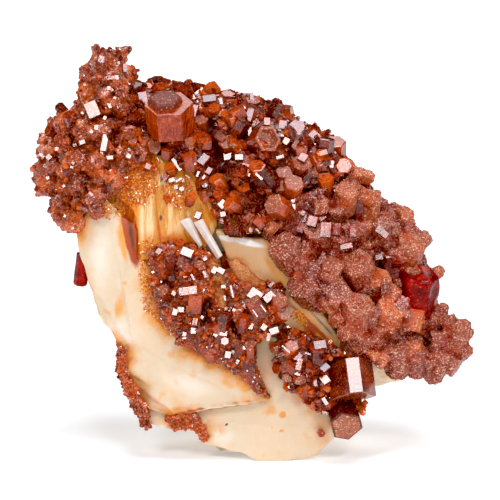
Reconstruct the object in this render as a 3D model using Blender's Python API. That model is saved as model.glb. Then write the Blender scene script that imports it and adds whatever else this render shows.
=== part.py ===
"""Vanadinite on matrix: orange-red hexagonal crystals grown over a group of barite blades.

The model is drawn in millimetres in its front elevation: x runs to the right, z runs up, and y runs
away from the front, so a smaller y is nearer to the viewer. Each piece is scaled to metres when it
is finished. The specimen stands on the flat facet under its back plate and its foot blade.
"""
import math
import random
from dataclasses import dataclass

import bmesh
import bpy
from mathutils import Matrix, Vector
from mathutils.bvhtree import BVHTree
from mathutils.geometry import delaunay_2d_cdt

MM = 0.001
GAP = 0.3
SEED = 23

BLADE_THICKNESS = 3.2
MIDDLE_BLADE_THICKNESS = 2.4
FAN_THICKNESS = 3.4
CRUST_DEPTH = 6.5
CLUSTER_DEPTH = 5.0
RIM_DEPTH = 3.0
FREE_SIDE_REACH = 1.4
TERRITORY_DEPTH = 60.0
RAY_START = -80.0
CRUMB = 0.002
SHARPEST_CORNER = 2.0

PRISM_SIDES = 6
BEVEL_RISE = 0.6
CRYSTAL_TILT = 0.7
CRYSTAL_SLENDERNESS = (2.0, 2.8)
BURIED_SHARE = 0.55
TRIES_PER_CRYSTAL = 40

LATH_WIDTH = 0.9
LATH_THICKNESS = 0.7

BARITE_CREAM = (0.84, 0.70, 0.52, 1.0)
BARITE_GOLD = (0.78, 0.48, 0.16, 1.0)
BARITE_WHITE = (0.90, 0.86, 0.80, 1.0)
VANADINITE_RED = (0.42, 0.07, 0.02, 1.0)
VANADINITE_DEEP = (0.24, 0.025, 0.012, 1.0)
VANADINITE_DRUSE = (0.38, 0.13, 0.08, 1.0)

# Outlines are (x, z, y of the front, y of the back).
BACK_PLATE_OUTLINE = [
    (-21.0, 45.0, 1.0, 7.0), (-14.0, 46.5, 3.0, 10.0), (-3.0, 46.0, 4.0, 12.0), (5.0, 43.5, 3.5, 12.0),
    (12.0, 38.5, 3.0, 11.0), (16.0, 33.0, 2.5, 10.0), (22.0, 26.0, 0.5, 8.0), (25.5, 18.5, -1.5, 5.5),
    (24.5, 12.3, -2.5, 3.0), (20.0, 10.0, -3.0, 4.5), (14.0, 8.5, -3.0, 6.5), (11.0, 4.5, -2.5, 8.5),
    (9.0, 0.0, -2.0, 9.0), (-4.5, 0.0, -2.0, 9.0), (-8.5, 4.5, -2.0, 8.0), (-15.5, 8.5, -2.5, 6.0),
    (-19.0, 17.0, -2.0, 6.0), (-22.0, 26.0, -1.0, 6.0), (-26.0, 34.0, -0.5, 5.0), (-25.0, 41.0, 0.5, 6.0),
]
BACK_PLATE_FRONT = [(-5.0, 30.0, 0.0), (8.0, 25.0, -1.5), (0.0, 12.0, -2.0)]
BACK_PLATE_BACK = [
    (-9.0, 36.0, 14.5), (5.0, 30.0, 15.5), (-7.0, 20.0, 13.5), (9.0, 17.0, 12.5), (0.0, 6.0, 12.0),
]

# The blades' outlines are (x, z, y of the front); their thickness is a constant above. Knots are
# points inside an outline, where a cleaved face breaks.
FRONT_BLADE_OUTLINE = [
    (-24.0, 31.0, -3.5), (-22.0, 34.5, -3.5), (-19.7, 35.3, -4.0), (-16.0, 32.0, -5.0),
    (-15.3, 27.4, -5.5), (-12.5, 26.0, -6.0), (-8.5, 23.0, -7.0), (-5.0, 18.5, -8.0),
    (-1.5, 13.0, -9.0), (2.3, 8.8, -8.8), (-5.2, 7.6, -9.0), (-10.9, 6.7, -8.7), (-14.0, 7.4, -8.0),
    (-16.3, 9.3, -7.0), (-17.8, 12.6, -6.5), (-17.3, 15.0, -6.5), (-20.8, 20.0, -5.5), (-23.0, 27.0, -4.5),
]
FRONT_BLADE_KNOTS = [(-18.5, 31.0, -5.4), (-18.0, 24.0, -6.6), (-14.5, 17.5, -7.7), (-11.5, 11.5, -9.4)]

FOOT_BLADE_OUTLINE = [
    (-15.5, 7.8, -6.0), (-12.0, 12.0, -5.2), (-6.0, 17.0, -5.2), (1.2, 18.5, -5.5), (4.0, 16.0, -6.2),
    (6.0, 11.0, -7.2), (8.2, 8.7, -7.5), (10.2, 6.7, -7.4), (11.2, 3.2, -7.0), (8.2, 0.6, -7.0),
    (4.6, 0.0, -7.4), (0.6, 0.0, -7.5), (-1.1, 1.0, -7.5), (-4.2, 1.8, -7.5), (-6.7, 2.4, -7.4),
    (-7.8, 4.8, -7.0), (-10.2, 4.1, -6.8), (-14.0, 5.0, -6.5),
]
FOOT_BLADE_KNOTS = [(2.0, 5.0, -8.0), (7.0, 4.5, -7.7), (-3.0, 5.5, -7.8), (2.0, 12.0, -6.8)]

MIDDLE_BLADE_OUTLINE = [
    (-5.0, 31.4, -5.0), (-2.0, 30.8, -5.5), (1.4, 30.4, -5.6), (3.6, 28.6, -5.8), (6.8, 24.0, -6.4),
    (10.4, 18.9, -6.8), (13.2, 14.2, -6.8), (11.6, 13.0, -6.8), (6.0, 17.6, -6.8), (1.0, 21.5, -6.4),
    (-2.4, 25.8, -5.8),
]
MIDDLE_BLADE_KNOTS = [(1.5, 26.5, -6.4)]

FAN_OUTLINE = [
    (-19.0, 39.8, -2.4), (-15.4, 41.3, -2.2), (-11.6, 41.0, -2.2), (-7.6, 39.0, -2.8), (-5.2, 36.0, -3.4),
    (-4.8, 31.8, -4.0), (-6.6, 28.6, -4.6), (-10.4, 26.8, -5.0), (-13.4, 27.2, -5.1), (-14.3, 34.0, -4.0),
    (-15.0, 27.9, -4.4), (-16.0, 34.0, -4.2), (-18.6, 36.4, -3.2),
]
FAN_KNOTS = [(-11.5, 36.0, -4.4), (-9.0, 31.5, -5.1)]

# A lath runs from its buried end to its free end, each (x, y, z).
LATH_LONG_ENDS = ((-7.3, -6.3, 33.0), (-4.4, -7.3, 28.2))
LATH_SHORT_ENDS = ((-9.1, -6.0, 33.2), (-6.9, -6.6, 29.6))

# A crystal is (buried end, axis towards its free end, radius, length, twist in degrees).
TIPPED_PRISM = ((-11.0, -2.9, 44.7), (-0.06, -0.36, 0.93), 3.4, 4.0, 8.0)
GLOSSY_PRISM = ((12.7, -9.0, 14.2), (0.12, -0.40, -0.91), 3.4, 4.8, 20.0)
END_PRISM = ((12.1, -7.6, 7.0), (0.12, -0.90, -0.34), 2.5, 3.4, 12.0)
EDGE_CRYSTAL = ((-22.9, -1.6, 27.6), (-0.12, 0.0, -0.99), 1.0, 4.2, 15.0)
FOOT_CRYSTAL = ((9.1, -7.5, 4.1), (0.1, -1.0, 0.1), 0.7, 1.5, 0.0)

# Crust outlines are (x, z, y of the front, free side?). A free side has nothing beside it, so its
# crystals may stand out past the outline. The other sides meet a neighbour.
KNOB_OUTLINE = [
    (-23.4, 46.5, 0.5, 0), (-23.6, 49.6, 1.5, 1), (-22.4, 52.6, 2.5, 1), (-20.4, 54.2, 3.0, 1),
    (-18.2, 53.2, 3.0, 1), (-16.8, 51.0, 2.0, 0), (-16.9, 46.6, -0.6, 0), (-19.5, 46.7, -1.6, 0),
]
KNOB_KNOTS = [(-20.0, 50.8, -1.2)]
LEFT_DRUSE_OUTLINE = [
    (-23.4, 46.1, 0.0, 0), (-26.0, 46.2, 0.0, 0), (-27.9, 43.2, -0.5, 1), (-29.2, 38.0, -1.5, 1),
    (-28.0, 34.5, -2.0, 1), (-25.8, 31.8, -2.5, 1), (-24.2, 31.2, -3.5, 1), (-21.6, 34.6, -5.0, 0),
    (-19.2, 36.0, -5.4, 0), (-17.2, 38.9, -5.0, 0), (-15.8, 41.0, -4.6, 0), (-15.3, 43.4, -3.6, 0),
    (-16.8, 46.2, -1.6, 0), (-19.5, 46.3, -2.4, 0),
]
LEFT_DRUSE_KNOTS = [(-24.0, 38.0, -4.6), (-20.5, 42.5, -4.2)]
UPPER_CRUST_OUTLINE = [
    (-16.2, 48.8, 4.0, 0), (-14.0, 49.0, 5.5, 1), (-9.9, 48.3, 6.0, 1), (-5.2, 47.6, 6.0, 1),
    (-0.4, 47.3, 5.0, 1), (3.4, 45.9, 4.5, 1), (6.8, 43.8, 3.5, 1), (11.0, 41.8, 2.5, 1),
    (12.6, 39.6, 1.0, 0), (12.1, 37.9, -1.5, 0), (7.8, 37.4, -3.5, 0), (5.0, 36.4, -4.5, 0),
    (2.5, 34.4, -5.5, 0), (0.8, 31.4, -6.4, 0), (-2.4, 31.4, -6.2, 0), (-4.9, 33.0, -5.6, 0),
    (-6.4, 36.4, -5.2, 0), (-8.6, 39.6, -4.8, 0), (-12.0, 41.9, -4.2, 0), (-14.9, 43.3, -3.2, 0),
]
UPPER_CRUST_KNOTS = [(-5.0, 42.0, -3.4), (2.0, 40.0, -3.0), (7.5, 40.0, -1.2)]
RIGHT_DRUSE_OUTLINE = [
    (13.2, 39.0, 1.0, 0), (15.4, 35.6, 1.0, 1), (18.2, 33.0, 1.0, 1), (20.8, 32.0, 0.5, 1),
    (22.2, 29.8, 0.0, 1), (23.4, 26.0, -1.0, 1), (25.0, 23.0, -2.0, 1), (25.8, 19.4, -3.0, 1),
    (27.8, 18.4, -3.0, 1), (29.2, 16.8, -3.5, 1), (29.0, 14.6, -4.0, 1), (27.3, 12.6, -4.5, 1),
    (25.2, 12.0, -5.0, 0), (21.6, 13.4, -6.5, 0), (18.6, 13.2, -7.5, 0), (16.6, 14.2, -8.0, 0),
    (13.2, 16.6, -8.5, 0), (10.4, 20.3, -8.5, 0), (7.0, 22.9, -8.5, 0), (5.4, 25.9, -8.0, 0),
    (3.0, 28.9, -7.0, 0), (1.4, 31.2, -6.8, 0), (3.0, 34.0, -6.0, 0), (5.3, 35.9, -5.2, 0),
    (8.1, 36.9, -4.2, 0), (12.5, 37.4, -2.0, 0),
]
RIGHT_DRUSE_KNOTS = [(11.0, 30.0, -6.8), (17.0, 27.0, -5.6), (18.0, 19.0, -8.2), (12.0, 23.5, -9.2)]
CENTRE_CLUSTER_OUTLINE = [
    (-14.0, 28.8, -7.0, 1), (-11.8, 30.2, -7.0, 1), (-8.2, 29.8, -7.0, 0), (-4.8, 27.6, -7.8, 0),
    (-2.0, 28.0, -8.2, 0), (1.2, 25.1, -9.0, 0), (4.4, 24.0, -10.0, 1), (4.8, 21.3, -10.4, 1),
    (2.0, 18.8, -10.4, 0), (0.3, 16.4, -10.2, 0), (0.5, 13.2, -10.2, 0), (2.2, 9.6, -9.8, 0),
    (0.7, 10.0, -10.0, 1), (-1.9, 12.7, -10.4, 1), (-6.5, 15.0, -10.4, 1), (-9.9, 17.0, -10.0, 1),
    (-12.4, 19.8, -9.4, 1), (-13.6, 23.8, -8.4, 1),
]
CENTRE_CLUSTER_KNOTS = [(-8.0, 24.0, -10.0), (-3.0, 18.5, -11.2), (0.5, 21.5, -11.2)]
LOWER_CLUSTER_OUTLINE = [
    (2.7, 16.2, -9.0, 0), (5.0, 18.4, -10.0, 1), (8.8, 17.4, -10.4, 1), (12.4, 15.4, -10.4, 0),
    (14.6, 13.0, -10.0, 0), (14.4, 7.4, -9.4, 1), (10.4, 6.4, -9.4, 1), (6.7, 9.2, -10.4, 1),
    (3.9, 11.4, -9.8, 1),
]
LOWER_CLUSTER_KNOTS = [(7.0, 13.6, -11.6)]
RIM_CRUST_OUTLINE = [
    (-18.6, 16.0, -6.6, 1), (-17.0, 15.4, -7.6, 1), (-17.0, 12.4, -7.8, 1), (-15.4, 9.4, -8.4, 1),
    (-14.2, 7.0, -8.8, 1), (-14.0, 4.6, -8.0, 1), (-15.6, 4.2, -7.2, 1), (-17.6, 7.4, -6.8, 1),
    (-19.2, 11.8, -6.4, 1),
]
NOTCH_CRUST_OUTLINE = [
    (-11.8, 6.0, -8.2, 1), (-8.2, 7.0, -8.6, 1), (-6.2, 4.6, -8.8, 1), (-6.6, 3.0, -8.2, 1),
    (-8.4, 4.4, -7.6, 1), (-10.8, 4.3, -7.6, 1),
]


@dataclass(frozen=True)
class Crust:
    """A group of crystals grown together on one ground: where it lies and how it is sown."""

    name: str
    outline: list
    knots: list
    depth: float
    count: int
    radii: tuple
    colour: tuple = VANADINITE_RED
    roughness: float = 0.22


CRUSTS = [
    Crust("vanadinite_upper_crust", UPPER_CRUST_OUTLINE, UPPER_CRUST_KNOTS, CRUST_DEPTH, 46, (0.8, 1.7)),
    Crust("vanadinite_knob", KNOB_OUTLINE, KNOB_KNOTS, CLUSTER_DEPTH, 9, (0.9, 1.4)),
    Crust("vanadinite_left_druse", LEFT_DRUSE_OUTLINE, LEFT_DRUSE_KNOTS, CRUST_DEPTH, 20, (1.0, 1.7),
          VANADINITE_DRUSE, 0.5),
    Crust("vanadinite_right_druse", RIGHT_DRUSE_OUTLINE, RIGHT_DRUSE_KNOTS, CRUST_DEPTH, 36, (1.2, 2.2),
          VANADINITE_DRUSE, 0.5),
    Crust("vanadinite_centre_cluster", CENTRE_CLUSTER_OUTLINE, CENTRE_CLUSTER_KNOTS, CLUSTER_DEPTH, 30,
          (0.6, 1.2)),
    Crust("vanadinite_lower_cluster", LOWER_CLUSTER_OUTLINE, LOWER_CLUSTER_KNOTS, CLUSTER_DEPTH, 14,
          (0.7, 1.3)),
    Crust("vanadinite_rim_crust", RIM_CRUST_OUTLINE, [], RIM_DEPTH, 7, (0.5, 0.8)),
    Crust("vanadinite_notch_crust", NOTCH_CRUST_OUTLINE, [], RIM_DEPTH, 4, (0.5, 0.7)),
]


def clear_scene():
    """Remove every object that the file starts with."""
    for item in list(bpy.data.objects):
        bpy.data.objects.remove(item, do_unlink=True)


def make_material(name, colour, roughness):
    """Return a Principled material with one colour and one roughness."""
    material = bpy.data.materials.new(name)
    material.use_nodes = True
    shader = material.node_tree.nodes["Principled BSDF"]
    shader.inputs["Base Color"].default_value = colour
    shader.inputs["Roughness"].default_value = roughness
    shader.inputs["Metallic"].default_value = 0.0
    material.diffuse_color = colour
    return material


def object_from_bmesh(name, shape):
    """Turn a bmesh into an object in the scene and return it."""
    bmesh.ops.recalc_face_normals(shape, faces=shape.faces)
    mesh = bpy.data.meshes.new(name)
    shape.to_mesh(mesh)
    shape.free()
    item = bpy.data.objects.new(name, mesh)
    bpy.context.scene.collection.objects.link(item)
    return item


def add_sheet(shape, rim, points, depths):
    """Triangulate one side of a slab: its rim vertices, and the points (x, z) inside with their depths."""
    corners = [Vector((vertex.co.x, vertex.co.z)) for vertex in rim] + [Vector(point) for point in points]
    boundary = list(range(len(rim)))
    _, _, faces, sources, _, _ = delaunay_2d_cdt(corners, [], [boundary], 1, 1e-6)
    inside = [shape.verts.new((x, depth, z)) for (x, z), depth in zip(points, depths)]
    vertices = rim + inside
    for face in faces:
        shape.faces.new([vertices[sources[index][0]] for index in face])


def make_slab(name, outline, front_knots=(), back_knots=()):
    """Close a slab between two sheets over one outline of (x, z, front y, back y)."""
    shape = bmesh.new()
    front = [shape.verts.new((x, near, z)) for x, z, near, _ in outline]
    back = [shape.verts.new((x, far, z)) for x, z, _, far in outline]
    add_sheet(shape, front, [knot[:2] for knot in front_knots], [knot[2] for knot in front_knots])
    add_sheet(shape, back, [knot[:2] for knot in back_knots], [knot[2] for knot in back_knots])
    for index in range(len(outline)):
        after = (index + 1) % len(outline)
        shape.faces.new((front[index], front[after], back[after], back[index]))
    bmesh.ops.triangulate(shape, faces=shape.faces)
    return object_from_bmesh(name, shape)


def make_blade(name, outline, knots, thickness):
    """Make a barite blade: a slab of even thickness behind its cleaved front."""
    rim = [(x, z, near, near + thickness) for x, z, near in outline]
    behind = [(x, z, near + thickness) for x, z, near in knots]
    return make_slab(name, rim, knots, behind)


def frame_along(start, axis, twist):
    """Return a matrix that puts its origin at start and its +Z along axis, turned by twist degrees."""
    turn = Vector((0.0, 0.0, 1.0)).rotation_difference(Vector(axis).normalized())
    spin = Matrix.Rotation(math.radians(twist), 4, "Z")
    return Matrix.Translation(start) @ turn.to_matrix().to_4x4() @ spin


def make_crystal(name, start, axis, radius, length, twist, bevel=0.0):
    """Make a six-sided prism from its buried end, with bevelled pyramid faces if bevel is given."""
    shape = bmesh.new()
    bmesh.ops.create_cone(
        shape, cap_ends=True, segments=PRISM_SIDES, radius1=radius, radius2=radius, depth=length,
        matrix=Matrix.Translation((0.0, 0.0, length / 2)))
    if bevel:
        ends = [face for face in shape.faces if len(face.verts) == PRISM_SIDES]
        bmesh.ops.inset_individual(shape, faces=ends, thickness=bevel, depth=0.0)
        for end in ends:
            bmesh.ops.translate(shape, verts=end.verts, vec=end.normal * bevel * BEVEL_RISE)
    bmesh.ops.transform(shape, matrix=frame_along(start, axis, twist), verts=shape.verts)
    return object_from_bmesh(name, shape)


def make_lath(name, ends):
    """Make a thin four-sided lath between its two ends."""
    start, finish = (Vector(end) for end in ends)
    shape = bmesh.new()
    bmesh.ops.create_cube(shape, size=1.0, matrix=Matrix.Translation((0.0, 0.0, 0.5)))
    length = (finish - start).length
    bmesh.ops.scale(shape, vec=(LATH_WIDTH, LATH_THICKNESS, length), verts=shape.verts)
    bmesh.ops.transform(shape, matrix=frame_along(start, finish - start, 0.0), verts=shape.verts)
    return object_from_bmesh(name, shape)


def apply_boolean(item, tool, operation):
    """Apply one exact Boolean to the item and remove the tool."""
    modifier = item.modifiers.new(operation.title(), "BOOLEAN")
    modifier.operation = operation
    modifier.solver = "EXACT"
    modifier.object = tool
    evaluated = item.evaluated_get(bpy.context.evaluated_depsgraph_get())
    result = bpy.data.meshes.new_from_object(evaluated)
    item.modifiers.clear()
    old = item.data
    item.data = result
    bpy.data.meshes.remove(old)
    bpy.data.objects.remove(tool, do_unlink=True)


def grown_copy(item):
    """Return a copy of a plain solid whose faces stand off from it by the gap."""
    shape = bmesh.new()
    shape.from_mesh(item.data)
    shape.normal_update()
    moves = [GAP * min(vertex.calc_shell_factor(), SHARPEST_CORNER) for vertex in shape.verts]
    for vertex, move in zip(shape.verts, moves):
        vertex.co += vertex.normal * move
    return object_from_bmesh("Clearance", shape)


def keep_largest(item):
    """Keep only the largest connected body of a mesh, after a cut has left crumbs beside it."""
    shape = bmesh.new()
    shape.from_mesh(item.data)
    bmesh.ops.remove_doubles(shape, verts=shape.verts, dist=CRUMB)
    bmesh.ops.dissolve_degenerate(shape, edges=shape.edges, dist=CRUMB)
    bmesh.ops.triangulate(shape, faces=shape.faces)
    left = set(shape.faces)
    bodies = []
    while left:
        body = []
        queue = [left.pop()]
        while queue:
            face = queue.pop()
            body.append(face)
            beside = {other for edge in face.edges for other in edge.link_faces} & left
            left -= beside
            queue.extend(beside)
        bodies.append(body)
    bodies.sort(key=lambda body: sum(face.calc_area() for face in body))
    crumbs = [face for body in bodies[:-1] for face in body]
    bmesh.ops.delete(shape, geom=crumbs, context="FACES")
    shape.to_mesh(item.data)
    shape.free()


def widened(outline):
    """Push the free sides of a crust outline outwards, so that crystals may stand out there."""
    corners = [Vector(point[:2]) for point in outline]
    turn = sum(a.x * b.y - b.x * a.y for a, b in zip(corners, corners[1:] + corners[:1]))
    reach = math.copysign(FREE_SIDE_REACH, turn)
    territory = []
    for index, (x, z, _, free) in enumerate(outline):
        along = (corners[(index + 1) % len(corners)] - corners[index - 1]).normalized()
        territory.append((x + along.y * reach * free, z - along.x * reach * free,
                          -TERRITORY_DEPTH, TERRITORY_DEPTH))
    return territory


def sow_crystals(ground, crust, rng):
    """Return crystals that stand out of the front of a ground solid at random, clear of each other."""
    outline = crust.outline
    tree = BVHTree.FromPolygons(
        [vertex.co for vertex in ground.data.vertices],
        [tuple(face.vertices) for face in ground.data.polygons])
    low_x, high_x = min(point[0] for point in outline), max(point[0] for point in outline)
    low_z, high_z = min(point[1] for point in outline), max(point[1] for point in outline)
    crystals = []
    places = []
    for _ in range(crust.count * TRIES_PER_CRYSTAL):
        if len(crystals) == crust.count:
            break
        radius = rng.uniform(*crust.radii)
        above = Vector((rng.uniform(low_x, high_x), RAY_START, rng.uniform(low_z, high_z)))
        hit, normal, _, _ = tree.ray_cast(above, Vector((0.0, 1.0, 0.0)))
        if hit is None:
            continue
        if any((hit - place).length < radius + other for place, other in places):
            continue
        tilt = Vector([rng.uniform(-CRYSTAL_TILT, CRYSTAL_TILT) for _ in range(3)])
        axis = (normal + tilt).normalized()
        length = radius * rng.uniform(*CRYSTAL_SLENDERNESS)
        start = hit - axis * length * BURIED_SHARE
        twist = rng.uniform(0.0, 360.0 / PRISM_SIDES)
        crystals.append(make_crystal("Crystal", start, axis, radius, length, twist))
        places.append((hit, radius))
    return crystals


def make_crust(crust, solids, rng):
    """Grow a crust: a ground slab with prisms standing out of it, kept inside its own territory."""
    rim = [(x, z, near, near + crust.depth) for x, z, near, _ in crust.outline]
    behind = [(x, z, near + crust.depth) for x, z, near in crust.knots]
    item = make_slab(crust.name, rim, crust.knots, behind)
    for crystal in sow_crystals(item, crust, rng):
        apply_boolean(item, crystal, "UNION")
    territory = make_slab("Territory", widened(crust.outline))
    for solid in solids:
        apply_boolean(territory, grown_copy(solid), "DIFFERENCE")
    apply_boolean(item, territory, "INTERSECT")
    keep_largest(item)
    return item


def cut_clear(item, solids):
    """Cut a piece back from the solids that were there before it, and keep its main body."""
    for solid in solids:
        apply_boolean(item, grown_copy(solid), "DIFFERENCE")
    keep_largest(item)


def make_barite(solids, pieces):
    """Make the blades in the order they hold each other, back plate first."""
    cream = make_material("barite_cream", BARITE_CREAM, 0.45)
    gold = make_material("barite_gold", BARITE_GOLD, 0.4)
    white = make_material("barite_white", BARITE_WHITE, 0.35)
    back = make_slab("barite_back_plate", BACK_PLATE_OUTLINE, BACK_PLATE_FRONT, BACK_PLATE_BACK)
    blades = [
        (back, cream),
        (make_blade("barite_front_blade", FRONT_BLADE_OUTLINE, FRONT_BLADE_KNOTS, BLADE_THICKNESS), cream),
        (make_blade("barite_foot_blade", FOOT_BLADE_OUTLINE, FOOT_BLADE_KNOTS, BLADE_THICKNESS), cream),
        (make_blade("barite_middle_blade", MIDDLE_BLADE_OUTLINE, MIDDLE_BLADE_KNOTS,
                    MIDDLE_BLADE_THICKNESS), gold),
        (make_blade("barite_fibrous_fan", FAN_OUTLINE, FAN_KNOTS, FAN_THICKNESS), gold),
        (make_lath("barite_lath_long", LATH_LONG_ENDS), white),
        (make_lath("barite_lath_short", LATH_SHORT_ENDS), white),
    ]
    for item, material in blades:
        add_piece(item, material, solids, pieces)


def make_single_crystals(solids, pieces):
    """Make the crystals that stand alone, large enough to be pieces of their own."""
    red = make_material("vanadinite_red", VANADINITE_RED, 0.18)
    deep = make_material("vanadinite_deep", VANADINITE_DEEP, 0.12)
    crystals = [
        (make_crystal("vanadinite_tipped_prism", *TIPPED_PRISM, bevel=0.5), red),
        (make_crystal("vanadinite_glossy_prism", *GLOSSY_PRISM, bevel=0.5), deep),
        (make_crystal("vanadinite_end_prism", *END_PRISM, bevel=0.45), deep),
        (make_crystal("vanadinite_edge_crystal", *EDGE_CRYSTAL, bevel=0.2), deep),
        (make_crystal("vanadinite_foot_crystal", *FOOT_CRYSTAL), red),
    ]
    for item, material in crystals:
        add_piece(item, material, solids, pieces)


def add_piece(item, material, solids, pieces):
    """Keep a plain copy of a piece for its neighbours to be cut by, then cut the piece itself clear."""
    plain = item.copy()
    plain.data = item.data.copy()
    cut_clear(item, solids)
    solids.append(plain)
    pieces.append((item, material))


def make_crusts(solids, pieces):
    """Make the crusts and clusters, each cut clear of the blades and the single crystals."""
    rng = random.Random(SEED)
    for crust in CRUSTS:
        material = make_material(crust.name, crust.colour, crust.roughness)
        pieces.append((make_crust(crust, solids, rng), material))


def finish(solids, pieces):
    """Drop the plain copies, centre the specimen over its base and scale it to metres."""
    for solid in solids:
        bpy.data.objects.remove(solid, do_unlink=True)
    points = [vertex.co for item, _ in pieces for vertex in item.data.vertices]
    middle_x = (min(point.x for point in points) + max(point.x for point in points)) / 2
    middle_y = (min(point.y for point in points) + max(point.y for point in points)) / 2
    lowest = min(point.z for point in points)
    to_metres = Matrix.Scale(MM, 4) @ Matrix.Translation((-middle_x, -middle_y, -lowest))
    for item, material in pieces:
        item.data.transform(to_metres)
        item.data.materials.clear()
        item.data.materials.append(material)


def main():
    """Build the specimen."""
    clear_scene()
    solids = []
    pieces = []
    make_barite(solids, pieces)
    make_single_crystals(solids, pieces)
    make_crusts(solids, pieces)
    finish(solids, pieces)


main()
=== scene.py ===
"""The looks of a vanadinite specimen: red hexagonal crystals and druse on a group of barite blades.

Sizes and places are in millimetres in the dataclass fields and become metres where a mesh is made.
A place on the specimen's front is given on a flat board that faces the viewer: "across" runs to the
right and "up" runs up from the point the specimen stands on.
"""

import logging
import math
from contextlib import contextmanager
from dataclasses import dataclass, field
from enum import Enum
from typing import Iterator, Sequence

import bmesh
import bpy
import numpy as np
from mathutils import Matrix, Vector, noise
from mathutils.bvhtree import BVHTree
from mathutils.kdtree import KDTree


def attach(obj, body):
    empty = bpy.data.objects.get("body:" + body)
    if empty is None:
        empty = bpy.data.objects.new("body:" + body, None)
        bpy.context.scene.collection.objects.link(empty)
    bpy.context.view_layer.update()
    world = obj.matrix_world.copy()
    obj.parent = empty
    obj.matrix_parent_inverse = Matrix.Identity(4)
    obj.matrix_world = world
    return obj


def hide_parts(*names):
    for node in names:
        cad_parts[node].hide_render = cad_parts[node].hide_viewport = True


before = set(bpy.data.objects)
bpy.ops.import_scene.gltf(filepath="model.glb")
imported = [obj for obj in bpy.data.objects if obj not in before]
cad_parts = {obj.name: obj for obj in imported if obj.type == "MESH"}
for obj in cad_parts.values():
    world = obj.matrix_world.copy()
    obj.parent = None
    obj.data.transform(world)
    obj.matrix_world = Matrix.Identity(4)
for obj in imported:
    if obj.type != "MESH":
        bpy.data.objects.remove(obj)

LOG = logging.getLogger("vanadinite")
MM = 0.001
SEED = 41
MERGE_GAP = 0.002
SLAB_WIDTH, SLAB_DEPTH = 1.7, 0.7
HEX_FLAT = 0.866
BODY = "root"
Colour = tuple[float, float, float]
Socket = bpy.types.NodeSocket


# ---------------------------------------------------------------------------------------------
# The viewer and the board
# ---------------------------------------------------------------------------------------------

@dataclass(frozen=True)
class Viewpoint:
    """Where the specimen is looked at from, and the board that places are given on."""

    rise: float = math.radians(12.0)
    lens: float = 350.0
    sensor: float = 36.0
    board_width: float = 68.0
    board_forward: float = 5.0
    aim_across: float = -0.6
    aim_up: float = 26.9
    pixel: float = 0.136
    middle_col: float = 254.5
    foot_row: float = 447.8
    clip: tuple[float, float] = (0.05, 20.0)

    @property
    def right(self) -> Vector:
        """The board's direction to the right."""
        return Vector((1.0, 0.0, 0.0))

    @property
    def up(self) -> Vector:
        """The board's upward direction."""
        return Vector((0.0, math.sin(self.rise), math.cos(self.rise)))

    @property
    def toward(self) -> Vector:
        """The direction from the specimen to the viewer."""
        return Vector((0.0, -math.cos(self.rise), math.sin(self.rise)))

    @property
    def distance(self) -> float:
        """Metres from the board to the eye, so that the board fills the picture's width."""
        return self.board_width * MM * self.lens / self.sensor

    @property
    def eye(self) -> Vector:
        """The camera's place."""
        return self.on_board(self.aim_across, self.aim_up) + self.toward * self.distance

    def spot(self, col: float, row: float) -> tuple[float, float]:
        """The board place that a picture 500 pixels wide shows at a column and row."""
        return (col - self.middle_col) * self.pixel, (self.foot_row - row) * self.pixel

    def on_board(self, across: float, up: float) -> Vector:
        """Finds a point of the board.

        Args:
            across: millimetres to the right of the standing point.
            up: millimetres up the board.

        Returns:
            The point in metres.
        """
        return (self.right * across + self.up * up + self.toward * self.board_forward) * MM

    def sight(self, across: float, up: float) -> Vector:
        """The direction from the eye through a point of the board."""
        return (self.on_board(across, up) - self.eye).normalized()

    def seen(self, points: np.ndarray) -> np.ndarray:
        """Finds where points show on the board.

        Args:
            points: an (n, 3) array in metres.

        Returns:
            An (n, 2) array of across and up, in millimetres.
        """
        rel = points - np.array(self.eye)
        depth = -(rel @ np.array(self.toward))
        scale = self.distance / depth
        across = (rel @ np.array(self.right)) * scale / MM + self.aim_across
        up = (rel @ np.array(self.up)) * scale / MM + self.aim_up
        return np.stack([across, up], axis=1)


VIEW = Viewpoint()


class Lamp(Enum):
    """The soft boxes, by their direction: degrees to the viewer's right, and degrees up."""

    ROOF = (20.0, 74.0)
    KEY = (-25.0, 38.0)
    SECOND = (13.0, 36.0)
    LOW = (0.0, 9.0)
    LEFT = (-80.0, 20.0)
    RIGHT = (75.0, 24.0)
    BACK = (180.0, 48.0)

    @property
    def way(self) -> Vector:
        """Works out where the lamp is.

        Returns:
            The direction from the specimen to the lamp.
        """
        azimuth, height = (math.radians(a) for a in self.value)
        return Vector((math.sin(azimuth) * math.cos(height), -math.cos(azimuth) * math.cos(height),
                       math.sin(height)))

    @property
    def glint(self) -> Vector:
        """The way a face must look to mirror the lamp to the viewer."""
        return (self.way + VIEW.toward).normalized()


# ---------------------------------------------------------------------------------------------
# Mesh handling
# ---------------------------------------------------------------------------------------------

def only(item: bpy.types.Object) -> None:
    """Selects one object alone and makes it the active one.

    Args:
        item: the object.
    """
    bpy.ops.object.select_all(action="DESELECT")
    item.select_set(True)
    bpy.context.view_layer.objects.active = item


@contextmanager
def editing(item: bpy.types.Object) -> Iterator[None]:
    """Keeps an object in edit mode for as long as the block runs.

    Args:
        item: the object to edit.
    """
    only(item)
    bpy.ops.object.mode_set(mode="EDIT")
    yield
    bpy.ops.object.mode_set(mode="OBJECT")


def crease(item: bpy.types.Object, degrees: float) -> None:
    """Shades an object smooth, but for edges sharper than an angle."""
    only(item)
    bpy.ops.object.shade_smooth_by_angle(angle=math.radians(degrees))


def add_object(name: str, data: bpy.types.ID) -> bpy.types.Object:
    """Adds a mesh, a light or a camera to the scene as an object.

    Args:
        name: the object's name.
        data: the mesh, light or camera.

    Returns:
        The object.
    """
    item = bpy.data.objects.new(name, data)
    bpy.context.scene.collection.objects.link(item)
    return item


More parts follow.
